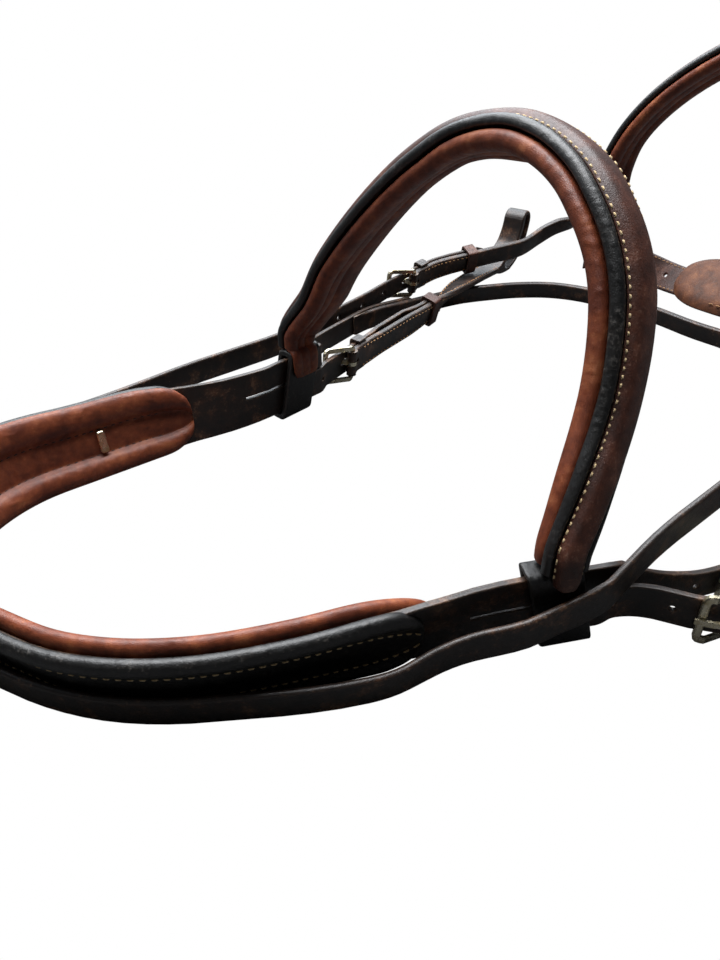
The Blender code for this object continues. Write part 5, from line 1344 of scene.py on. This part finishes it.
def pad(name, nodes, material, body, fill, *shape):
    """A padded piece. fill would say how tightly it is stuffed, from 0, slack, to 1, but it is not used."""
    obj = piece(name, padded_mesh(*shape), material, body, nodes, subdivide=1)
    return obj


def head_half(s):
    """Half the headpiece's width at s."""
    return crown_width(s) * TAIL_WIDTH / 2


pad("headpiece_lining", ("headpiece_pad",), TAN, "bridle", LINING_FILL,
    crown, PAD_FAR, PAD_NEAR + LINING_PAST, head_half, -GAP, -CROWN_PAD_THICK, PAD_SECTION,
    (PAD_TIP, LINING_TIP), END_SHARE)
pad("headpiece_cover", ("headpiece_facing",), BLACK, "bridle", COVER_FILL,
    crown, PAD_FAR, PAD_NEAR, head_half, CROWN_THICK + GAP, FACING_THICK, COVER_SECTION,
    PAD_TIP, POINT_SHARE)
print("headpiece's pad at the poll, in mm:", round(float(2000 * head_half(crown.long / 2)), 1))

# %% [markdown]
# The browband goes across the forehead and the noseband over the nose. Each is three layers: a black base
# with rolled edges, a brown strip raised over a filling on its outside, and a lining inside, which two sewn
# channels divide into rolls. Each layer is swept along the same route, so they stay together however the
# band twists. A band is widest at its middle and narrows to its feet.

# %% A band's layers
BASE_SECTION = (
    (-0.95, 0.0), (0.0, 0.0), (0.95, 0.0), (1.0, 0.25), (1.01, 0.70), (0.97, 1.12), (0.86, 1.42),
    (0.74, 1.36), (0.64, 1.10), (0.56, 0.98), (0.0, 0.98), (-0.56, 0.98), (-0.64, 1.10), (-0.74, 1.36),
    (-0.86, 1.42), (-0.97, 1.12), (-1.01, 0.70), (-1.0, 0.25),
)
RAISE_SECTION = (
    (-1.06, 0.0), (-0.4, 0.0), (0.4, 0.0), (1.06, 0.0), (1.08, 0.20), (1.0, 0.42), (0.90, 0.70),
    (0.74, 0.94), (0.5, 1.07), (0.0, 1.12), (-0.5, 1.07), (-0.74, 0.94), (-0.90, 0.70), (-1.0, 0.42),
    (-1.08, 0.20),
)
BAND_PAD_SECTION = (
    (-0.90, 0.0), (-0.45, 0.0), (0.0, 0.0), (0.45, 0.0), (0.90, 0.0), (1.0, 0.22), (1.03, 0.50),
    (0.98, 0.80), (0.84, 0.99), (0.64, 1.04), (0.46, 0.98), (0.37, 0.84), (0.33, 0.74), (0.27, 0.82),
    (0.14, 0.92), (0.0, 0.95), (-0.14, 0.92), (-0.27, 0.82), (-0.33, 0.74), (-0.37, 0.84), (-0.46, 0.98),
    (-0.64, 1.04), (-0.84, 0.99), (-0.98, 0.80), (-1.03, 0.50), (-1.0, 0.22),
)
BAND_THICK = 0.0034
BAND_PAD_THICK = 0.0074
RAISE_THICK = 0.0044
RAISE_SHARE = 0.58  # width of the raised strip, as a share of the band's
RAISE_END_SHARE = 0.7
PAD_EDGE_SHARE = 1.02  # width of the lining, as a share of the band's
FOOT_FULL_SHARE = 0.96  # a lining's foot is this share of its width there
BAND_TAPER_SHARE = 0.30  # share of its length over which a band widens


def band_width(route, full, foot_share):
    """The function that gives a band's width at s."""

    def width(s):
        end = np.clip(np.minimum(s, route.long - s) / (route.long * BAND_TAPER_SHARE), 0, 1)
        return full * (foot_share + (1 - foot_share) * eased(end))

    return width


def base_mesh(route, width):
    """The base of a band, with rolled edges."""
    across, deep = np.array(BASE_SECTION).T
    return loft([
        route.at(np.full(len(across), s), across * width(s) / 2, deep * BAND_THICK)
        for s in route.fine(0.0, route.long)
    ])


for title, section in (("base", BASE_SECTION), ("strip", RAISE_SECTION), ("lining", BAND_PAD_SECTION)):
    print(title, "section:", len(section), "corners")

# %% [markdown]
# The strip is sewn down along its foot with cream thread. The first row follows its lower edge all the way.
# The second row starts up on the strip and runs out to the edge past the middle of the band. The lining's
# two channels are sewn in dark thread, and each seam is drawn where it comes through, on its own face.

# %% A band and its stitches
ROW_IN = 0.004  # from the end of a strip to its first stitch
ROW_OUT_SHARE = 1.02  # from the strip's middle to a row at its edge, as a share of its half width
ROW_UP_SHARE = 0.62  # and to a row on top of it
ROW_FOOT_HIGH_SHARE = 0.36  # height of a row at its edge, as a share of its thickness
ROW_TOP_HIGH_SHARE = 1.05
ROW_TURNS = (0.64, 0.78)  # between these shares of a band its second row runs out to the edge
CHANNEL_SHARE = 0.33  # from a lining's middle to its channels
CHANNEL_DEEP_SHARE = 0.78
STRIP_FILL = 0.9
STRIP_THREAD_THICK, LINING_THREAD_THICK = 0.0009, 0.0006


def band(prefix, body, route, full, foot_share, foot, raise_in, first=(), flare=None):
    """A padded band's three layers with their stitches."""
    width = band_width(route, full, foot_share)

    def strip_half(s):
        return width(s) * RAISE_SHARE / 2

    def lining_half(s):
        return width(s) * PAD_EDGE_SHARE / 2

    def turn(s, low, high):
        return float(np.interp(s / route.long, ROW_TURNS, (low, high)))

    def across(s):
        return turn(s, ROW_UP_SHARE, ROW_OUT_SHARE) * strip_half(s)

    def height(s):
        return BAND_THICK + RAISE_THICK * turn(s, ROW_TOP_HIGH_SHARE, ROW_FOOT_HIGH_SHARE)

    piece(prefix + "_strap", base_mesh(route, width), BLACK, body, (prefix + "_base",), subdivide=1)
    pad(prefix + "_strip", (prefix + "_facing",), HAVANA, body, STRIP_FILL,
        route, raise_in, route.long - raise_in, strip_half,
        BAND_THICK + GAP / 2, RAISE_THICK, RAISE_SECTION, RAISE_TIP / 2, RAISE_END_SHARE)
    pad(prefix + "_lining", (prefix + "_pad",), TAN, body, LINING_FILL,
        route, foot, route.long - foot, lining_half,
        -GAP, -BAND_PAD_THICK, BAND_PAD_SECTION, BAND_PAD_TIP, FOOT_FULL_SHARE, first, flare)
    sewn = (raise_in + ROW_IN, route.long - raise_in - ROW_IN)
    foot_height = BAND_THICK + RAISE_THICK * ROW_FOOT_HIGH_SHARE
    edge_rows = [
        seam(route, *sewn, lambda s: -ROW_OUT_SHARE * strip_half(s), foot_height, FINE_PITCH),
        seam(route, *sewn, across, height, FINE_PITCH),
    ]
    stitch_rows(prefix + "_stitches", edge_rows, body, CREAM_THREAD, STRIP_THREAD_THICK)
    lined = (foot + BAND_PAD_TIP, route.long - foot - BAND_PAD_TIP)
    channel = -GAP - BAND_PAD_THICK * CHANNEL_DEEP_SHARE
    lining_rows = [
        seam(route, *lined, lambda s, k=k: k * lining_half(s) * CHANNEL_SHARE, channel) for k in (-1, 1)
    ]
    stitch_rows(prefix + "_lining_stitches", lining_rows, body, DARK_THREAD, LINING_THREAD_THICK)


print("the second row runs out between", ROW_TURNS, "of a band's length")

# %% [markdown]
# The browband has a loop at each end, and the headpiece runs through both. Its lining runs on down the
# inner face of the far loop, so a few thin rings go ahead of it there, and on its far leg the lining bulges
# out past one edge of the band. The noseband's lining stops short of its ends, where the sliphead and the
# chin strap are sewn in.

# %% Browband and noseband
BAND_WIDTH = 0.0300
NOSE_WIDTH = 0.0320
BAND_FOOT_SHARE = 0.56  # width of a band's foot, as a share of its full width
NOSE_FOOT_SHARE = 0.80
EDGE = 0.0006  # a thin cut edge
LOOP_EDGE = 0.0013  # rounding of a loop's edges
LINING_DOWN = 0.0150  # the browband's lining runs on this far down its far loop
LINING_THIN = 0.0022  # and is this thick there
LINING_RINGS = (  # where the rings down the far loop go, and how much of its width they have
    (-LINING_DOWN, 0.72), (-LINING_DOWN + EDGE * 2, 0.95), (-LINING_DOWN / 2, 1.0), (-EDGE, 1.0),
)
FLARE_PLACES = (0.0, 0.012, 0.035, 0.060, 0.085, 0.130)  # along the browband's far leg
FLARE_OUT = (0.0, 0.0060, 0.0105, 0.0105, 0.0070, 0.0)  # how much wider its lining is there, on one side


def loop_face():
    """Height of the far loop's inner face off the browband's own line."""
    place, _, _, out = browband.frame(0.0)
    return float((crown.at(FAR_LOOP, 0.0, -LOOP_PLAY - LOOP_WALL) - place) @ out)


low = loop_face() - GAP
foot_rings = [(s, share, low, -LINING_THIN) for s, share in LINING_RINGS]
print("loop face", round(low * 1000, 2), "mm off the browband's line")
band("browband", "browband", browband, BAND_WIDTH, BAND_FOOT_SHARE, PAD_FOOT, -RAISE_PAST, foot_rings,
     lambda s: float(np.interp(s, FLARE_PLACES, FLARE_OUT)))
band("noseband", "bridle", noseband, NOSE_WIDTH, NOSE_FOOT_SHARE, NOSE_PAD_FOOT, NOSE_RAISE_IN)
for side in ("far", "near"):
    softened("browband_loop_" + side, BLACK, LOOP_EDGE)

# %% [markdown]
# ## Straps folded round their buckles
#
# A buckle hangs in the fold of a doubled strap. The fold is slotted for the tongue, and the two plies are
# sewn together past it. Bending a long strip back on itself round the bar would need a route of its own for
# each. So the doubled strap is drawn from the side instead, with a round eye for the hinge bar, cut as
# thick as the strap is wide, and turned to lie on its route. The cheekpieces end in a second, larger loop,
# for the bit's ring.

# %% Folded straps
PLY_GAP = 0.0005  # clearance between a billet and the strap it lies on
CHAPE_THICK = 0.0040  # two plies sewn together
BAR_THICK = 0.0024
EYE_PLAY = 0.0005
EYE_WALL = 0.0013
TONGUE_WIDE = 0.0024
BIT_LONG = 0.0400
BIT_HIGH = 0.0090
BIT_WALL = 0.0030
FOLD_STEP_DEG = 15  # the corners of a fold's round parts are this far apart
EYE_RADIUS = BAR_THICK / 2 + EYE_PLAY
EYE_MID = -PLY_GAP - EYE_RADIUS - EYE_WALL  # height of a hinge bar's middle off the billet's inner face
CHAPE_MID = -PLY_GAP - CHAPE_THICK / 2


def arc(x, y, radius, first_deg, last_deg):
    """Places round an arc."""
    turns_round = [math.radians(deg) for deg in range(first_deg, last_deg + 1, FOLD_STEP_DEG)]
    return [(x + radius * math.cos(a), y + radius * math.sin(a)) for a in turns_round]


def fold_outline(long, skive=0.0):
    """Side view of a doubled strap from its fold at x = 0 to its end at x = long, thinned over skive."""
    radius = EYE_RADIUS + EYE_WALL
    under = -PLY_GAP - CHAPE_THICK
    end = -PLY_GAP - (EDGE if skive else CHAPE_THICK)
    points = arc(0.0, EYE_MID, radius, 90, 270)
    return points + [(2 * radius, under), (long - skive, under), (long, end), (long, -PLY_GAP)]


def bit_outline(long, outline):
    """Swells the plain end of a folded strap into the loop that takes a bit ring."""
    half = BIT_HIGH / 2 + BIT_WALL
    start = long - BIT_LONG - 2 * BIT_WALL
    lower = [(start - half, -PLY_GAP - CHAPE_THICK), (start + half, CHAPE_MID - half)]
    upper = [(start + half, CHAPE_MID + half), (start - half, -PLY_GAP)]
    return outline[:-3] + lower + arc(long - half, CHAPE_MID, half, -90, 90) + upper


def bit_hole(long):
    """The opening that the bit's ring goes through."""
    start = long - BIT_LONG - 2 * BIT_WALL
    low, high = CHAPE_MID - BIT_HIGH / 2, CHAPE_MID + BIT_HIGH / 2
    return rounded(start + BIT_WALL, long - BIT_WALL, low, high, BIT_HIGH / 3, steps=4)


def chape_mesh(long, width, bit_loop=False, skive=0.0):
    """A doubled strap lying flat, with its eye, its tongue's slot and, on a cheekpiece, its bit loop."""
    outline, eye = fold_outline(long, skive), circle(0.0, EYE_MID, EYE_RADIUS)
    shapes = [bit_outline(long, outline), eye, bit_hole(long)] if bit_loop else [outline, eye]
    mesh = turned(cut_flat(shapes, -width / 2, width / 2, EDGE_ROUND))
    slot = TONGUE_WIDE / 2 + GAP * 2
    back, ahead = EYE_RADIUS + EYE_WALL * 2, EYE_RADIUS + EYE_WALL * 3
    return cut_box(mesh, ((-back, -slot, EYE_MID * 2), (ahead, slot, EYE_RADIUS)))


print("a hinge bar's middle is", round(-EYE_MID * 1000, 2), "mm under its billet")

# %% [markdown]
# Each doubled strap has a row of stitches along both edges and on both faces. Its keeper is sewn on behind
# the buckle, and its runner slides. The folded straps of the far cheekpiece, the sliphead and the chin run
# against their routes, so they are laid with way = -1.

# %% Cheekpieces
CHEEK_WIDTH = 0.0158
KEEPER_EDGE = 0.0005  # rounding of a keeper's edges
EDGE_SEAM = 0.0019  # from a strap's edge to its stitches
SEAM_SUNK = 0.00001  # a seam starts this far under its face
ROW_FROM_BAR = 0.010  # from a hinge bar to its first stitch
ROW_FROM_BIT = 0.012
BIT_END_OUT = 0.0040  # from a route's end to its bit loop
CHAPE_THREAD_THICK = 0.0010


def chape_stitches(name, route, hinge, way, end, half):
    """Two rows along the edges of a doubled strap, on its outer and inner faces, to end past its hinge."""
    rows = []
    for face in (-PLY_GAP, -PLY_GAP - CHAPE_THICK):
        for k in (-1, 1):
            places = (hinge + way * ROW_FROM_BAR, hinge + way * end)
            rows.append(seam(route, *places, k * (half - EDGE_SEAM), face - SEAM_SUNK))
    stitch_rows(name, rows, "bridle", TAN_THREAD, CHAPE_THREAD_THICK)


def hardware(prefix):
    """Keepers and runners with their edges rounded over."""
    softened(prefix + "_keeper", HAVANA if prefix == "chin" else STRAP, KEEPER_EDGE)
    runner_at = BUCKLES[prefix][3]
    if runner_at:
        softened(prefix + "_runner", HAVANA, KEEPER_EDGE)


for prefix, bit_end in (("cheek_far", BIT_END_OUT), ("cheek_near", near_cheek.long - BIT_END_OUT)):
    route, hinge, way = BUCKLES[prefix][:3]
    long = abs(bit_end - hinge)
    laid = bend(chape_mesh(long, CHEEK_WIDTH, True), route, hinge, way)
    piece(prefix + "_chape", laid, STRAP, "bridle", (prefix + "_strap",))
    chape_stitches(prefix + "_stitches", route, hinge, way, long - BIT_LONG - ROW_FROM_BIT, CHEEK_WIDTH / 2)
    hardware(prefix)
    print(prefix, "from its hinge bar to its bit loop's end:", round(float(long) * 1000), "mm")

# %% [markdown]
# The throatlatch goes under the jaw and buckles on the near side. Its far end is thinned, which a saddler
# calls skiving, and sewn under the headpiece's billet. The sliphead is one long strap with its own short
# buckle strap.

# %% Throatlatch and sliphead
THROAT_WIDTH = 0.0130
SLIP_WIDTH = 0.0140
BILLET_THICK = 0.0028
LAP_SHARE = 0.40  # share of the sewn lap that the throatlatch fills
SKIVE = 0.0180  # length over which the throatlatch's sewn end is thinned
THROAT_ROW_END = 0.042
SLIP_ROW_END = 0.060

throat_long = THROAT_LAP + LAP_LONG * LAP_SHARE - THROAT_HINGE
flat = chape_mesh(throat_long, THROAT_WIDTH - GAP * 2, skive=SKIVE)
piece("throatlatch_strap_fine", bend(flat, throat, THROAT_HINGE), STRAP, "bridle", ("throatlatch_strap",))
chape_stitches("throatlatch_stitches", throat, THROAT_HINGE, 1, THROAT_ROW_END, THROAT_WIDTH / 2)
hardware("throatlatch")

outline = pointed(sliphead.long, SLIP_HINGE - PAST_SLIP, SLIP_WIDTH / 2, TIP_LONG)
flat = cut_flat([outline] + billet_holes(SLIP_HINGE, -1, 0.0, before=3), 0.0, BILLET_THICK, EDGE_ROUND)
piece("sliphead_long_strap", bend(flat, sliphead, 0.0), STRAP, "bridle", ("sliphead_strap",))
flat = chape_mesh(SLIP_HINGE, SLIP_WIDTH)
piece("sliphead_short_strap", bend(flat, sliphead, SLIP_HINGE, -1), STRAP, "bridle", ("sliphead_hanger",))
chape_stitches("sliphead_stitches", sliphead, SLIP_HINGE, -1, SLIP_ROW_END, SLIP_WIDTH / 2)
hardware("sliphead")
print("throatlatch past its hinge bar:", round(float(throat_long) * 1000), "mm")

# %% [markdown]
# The chin strap closes the noseband behind the jaw, and its pad keeps the buckle off the skin. The pad is
# wider than the strap. It is made as the other pads are, with the raised strip's plain section, and it lies
# under the doubled strap, so its height is worked out from the buckle's eye.

# %% Chin strap
CHIN_WIDTH = 0.0220
CHIN_PITCH = 0.0200
CHIN_HOLES = 4
CHIN_PAD_WIDE = 0.0450
CHIN_PAD_NARROW_SHARE = 0.90
CHIN_PAD_THICK = 0.0060
CHIN_PAD_TIP = 0.0300
CHIN_PAD_BACK = 0.0450  # from the hinge bar back to the pad's end
CHIN_PAD_PAST = 0.0620
CHIN_PAD_ENDS = (CHIN_HINGE - CHIN_PAD_BACK, CHIN_HINGE + CHIN_PAD_PAST)
CHIN_PAD_FILL = 0.6
CHIN_ROW_IN = 0.012  # from the strap's tip to its first stitch
CHIN_ROW_OUT = 0.02  # and from its other end
CUSHION_ROW_SHARE = 0.84
CUSHION_ROW_DEEP_SHARE = 0.95

outline = pointed(chin.long, CHIN_HINGE - PAST_CHIN, CHIN_WIDTH / 2, TIP_LONG)
holes = [circle(CHIN_HINGE - TONGUE_HOLE_MID, 0.0, TONGUE_HOLE_LONG, HOLE_RADIUS)]
for k in range(1, CHIN_HOLES + 1):
    holes.append(circle(CHIN_HINGE + k * CHIN_PITCH, 0.0, HOLE_RADIUS * HOLE_SHARE))
flat = cut_flat([outline] + holes, 0.0, BILLET_THICK, EDGE_ROUND)
piece("chin_long_strap", bend(flat, chin, 0.0), HAVANA, "bridle", ("chin_strap",))
flat = chape_mesh(CHIN_HINGE, CHIN_WIDTH)
piece("chin_short_strap", bend(flat, chin, CHIN_HINGE, -1), HAVANA, "bridle", ("chin_tab",))


def chin_half(s):
    """Half the chin pad's width at s."""
    return np.interp(s, CHIN_PAD_ENDS, (1.0, CHIN_PAD_NARROW_SHARE)) * CHIN_PAD_WIDE / 2


chin_base = EYE_MID - EYE_RADIUS - EYE_WALL - GAP
pad("chin_cushion", ("chin_pad",), SHADED_CHIN_TAN, "bridle", CHIN_PAD_FILL,
    chin, *CHIN_PAD_ENDS, chin_half, chin_base, -CHIN_PAD_THICK, RAISE_SECTION, CHIN_PAD_TIP, END_SHARE)
sewn = (CHIN_HINGE - PAST_CHIN + CHIN_ROW_IN, chin.long - CHIN_ROW_OUT)
chin_rows = [seam(chin, *sewn, k * (CHIN_WIDTH / 2 - EDGE_SEAM), -SEAM_SUNK) for k in (-1, 1)]
sewn = (CHIN_PAD_ENDS[0] + CHIN_PAD_TIP / 2, CHIN_PAD_ENDS[1] - CHIN_PAD_TIP)
deep = chin_base - CHIN_PAD_THICK * CUSHION_ROW_DEEP_SHARE
chin_rows += [seam(chin, *sewn, lambda s, k=k: k * chin_half(s) * CUSHION_ROW_SHARE, deep) for k in (-1, 1)]
stitch_rows("chin_stitches", chin_rows, "bridle", TAN_THREAD)
hardware("chin")

# %% [markdown]
# The headpiece's cover is sewn down inside its two raised edges. The rows run side by side and meet in a
# point at each end, which is the mark of a shaped headpiece. Inside, two rows hold the lining's channel.

# %% Headpiece stitches
COVER_ROW_IN = 0.001  # from an end of the cover to its first stitch
COVER_ROW_SHARE = 0.57  # from the cover's middle to its rows
COVER_ROW_HIGH_SHARE = 0.46
OVAL_LONG_SHARE = 1.6  # the rows come together over this share of the pad's rounded end
HEAD_CHANNEL_SHARE = 0.35
HEAD_CHANNEL_DEEP_SHARE = 0.40
HEAD_LINING_THREAD_THICK = 0.0007


def oval(s, k):
    """How far across a row of the cover is at s, on the side k."""
    share = np.clip(min(s - PAD_FAR, PAD_NEAR - s) / (PAD_TIP * OVAL_LONG_SHARE), 0, 1)
    return k * head_half(s) * COVER_ROW_SHARE * math.sqrt(1 - (1 - share) ** 2)


sewn = (PAD_FAR + COVER_ROW_IN, PAD_NEAR - COVER_ROW_IN)
high = CROWN_THICK + GAP + FACING_THICK * COVER_ROW_HIGH_SHARE
head_rows = [seam(crown, *sewn, lambda s, k=k: oval(s, k), high) for k in (-1, 1)]
stitch_rows("headpiece_stitches", head_rows, "bridle", CREAM_THREAD)
sewn = (PAD_FAR + PAD_TIP, PAD_NEAR - PAD_TIP)
deep = -GAP - CROWN_PAD_THICK * HEAD_CHANNEL_DEEP_SHARE
lining_rows = [
    seam(crown, *sewn, lambda s, k=k: k * head_half(s) * HEAD_CHANNEL_SHARE, deep) for k in (-1, 1)
]
stitch_rows("headpiece_lining_stitches", lining_rows, "bridle", DARK_THREAD, HEAD_LINING_THREAD_THICK)

# %% [markdown]
# ## Stage, light and camera
#
# The photograph's ground is plain white. A floor lit to white would throw its light up on the leather, so
# the floor and the world are white to the camera alone. To everything else the floor is dark grey and the
# world is a dim, slightly blue glow from above and behind, which gives the black leather its soft shine.

# %% Floor and world
FLOOR_SIZE = 8
FLOOR_UNDER = 0.0002  # the floor lies this far under the bridle, so the two never share a plane
WHITE = (1, 1, 1, 1)
FLOOR_GREY = (0.05, 0.05, 0.05, 1)
SKY_BLUE = (0.84, 0.92, 1.0, 1)
SKY_WAY = (-0.30, 0.74, 0.60)  # the sky is brightest this way
SKY_FROM = 0.30  # and fades to its least this far off it, as a cosine
SKY_LEAST, SKY_MOST = 0.03, 0.7

bpy.ops.mesh.primitive_plane_add(size=FLOOR_SIZE, location=(0, 0, -FLOOR_UNDER))
floor = bpy.context.object
floor.name = "floor"
paper = bpy.data.materials.new("white_paper")
paper.use_nodes = True
tree = paper.node_tree
shader = tree.nodes["Principled BSDF"]
shown = add(tree, "Emission", Color=WHITE, Strength=1.0).outputs["Emission"]
shader.inputs["Base Color"].default_value = FLOOR_GREY
shader.inputs["Roughness"].default_value = 0.9
seen = add(tree, "LightPath").outputs["Is Camera Ray"]
mixed = add(tree, "MixShader", i0=seen, i1=shader.outputs["BSDF"], i2=shown)
tree.links.new(mixed.outputs["Shader"], tree.nodes["Material Output"].inputs["Surface"])
floor.data.materials.append(paper)

world = bpy.data.worlds.new("studio")
bpy.context.scene.world = world
world.use_nodes = True
tree = world.node_tree
tree.nodes.clear()
way = add(tree, "TexCoord").outputs["Generated"]
toward = add(tree, "VectorMath", {"operation": "DOT_PRODUCT"}, i0=way, i1=SKY_WAY).outputs["Value"]
glow = add(
    tree, "MapRange", Value=toward, From_Min=SKY_FROM, From_Max=1.0, To_Min=SKY_LEAST, To_Max=SKY_MOST
)
sky = add(tree, "Background", Color=SKY_BLUE, Strength=glow.outputs["Result"]).outputs["Background"]
white = add(tree, "Background", Color=WHITE, Strength=1.0).outputs["Background"]
seen = add(tree, "LightPath").outputs["Is Camera Ray"]
mixed = add(tree, "MixShader", i0=seen, i1=sky, i2=white)
add(tree, "OutputWorld", i0=mixed.outputs["Shader"])
print("floor", FLOOR_SIZE, "m wide, world from", SKY_LEAST, "to", SKY_MOST)

# %% [markdown]
# Four soft lamps stand round the bridle. The large one over it and the one behind it do most of the work,
# because light that comes from above and behind shows the edges and the pores of dark leather. The other
# two only open up the shadows.

# %% Lamps
LAMP_TARGET = (0, 0, 0.05)
LAMPS = {  # place, size, power in watts and colour
    "window": ((-0.9, 0.5, 1.4), (0.9, 0.7), 5, (1.0, 0.99, 0.97)),
    "top": ((-0.1, 0.3, 1.5), (1.5, 1.1), 60, (0.95, 0.97, 1.0)),
    "back": ((-0.3, 1.7, 1.2), (1.6, 0.8), 22, (0.88, 0.94, 1.0)),
    "front": ((-0.5, -1.4, 0.9), (0.8, 0.8), 0.4, (1.0, 0.93, 0.86)),
}
for name, (place, size, power, colour) in LAMPS.items():
    light = bpy.data.lights.new(name, "AREA")
    light.shape = "RECTANGLE"
    light.size, light.size_y = size
    light.energy = power
    light.color = colour
    lamp = linked(name, light)
    lamp.location = place
    lamp.rotation_euler = (Vector(LAMP_TARGET) - Vector(place)).to_track_quat("-Z", "Y").to_euler()
print("lamps, in watts:", {name: row[2] for name, row in LAMPS.items()})

# %% [markdown]
# The camera stands where the straps were measured from: a little above the bridle, looking down at 35
# degrees. Its focal length is given in pixels of the picture's height, so it comes over to a sensor of any
# size.

# %% Camera
CAMERA_AT = (-0.09145, -0.3803, 0.2133)
CAMERA_DOWN_DEG = 35.0
CAMERA_FOCUS_PIXELS = 753
PICTURE_HIGH = 960
SENSOR_HIGH = 36.0  # in mm

lens = bpy.data.cameras.new("photo_camera")
camera = linked("photo_camera", lens)
lens.sensor_fit = "VERTICAL"
lens.sensor_height = SENSOR_HIGH
lens.lens = SENSOR_HIGH * CAMERA_FOCUS_PIXELS / PICTURE_HIGH
lens.clip_start = 0.01
camera.location = CAMERA_AT
camera.rotation_euler = (math.radians(90 - CAMERA_DOWN_DEG), 0, 0)
bpy.context.scene.camera = camera
bpy.context.scene.view_settings.view_transform = "Standard"
print("lens:", round(lens.lens, 1), "mm")

# %% [markdown]
# The last call brings the scene up to date.

# %% Finish
bpy.context.view_layer.update()
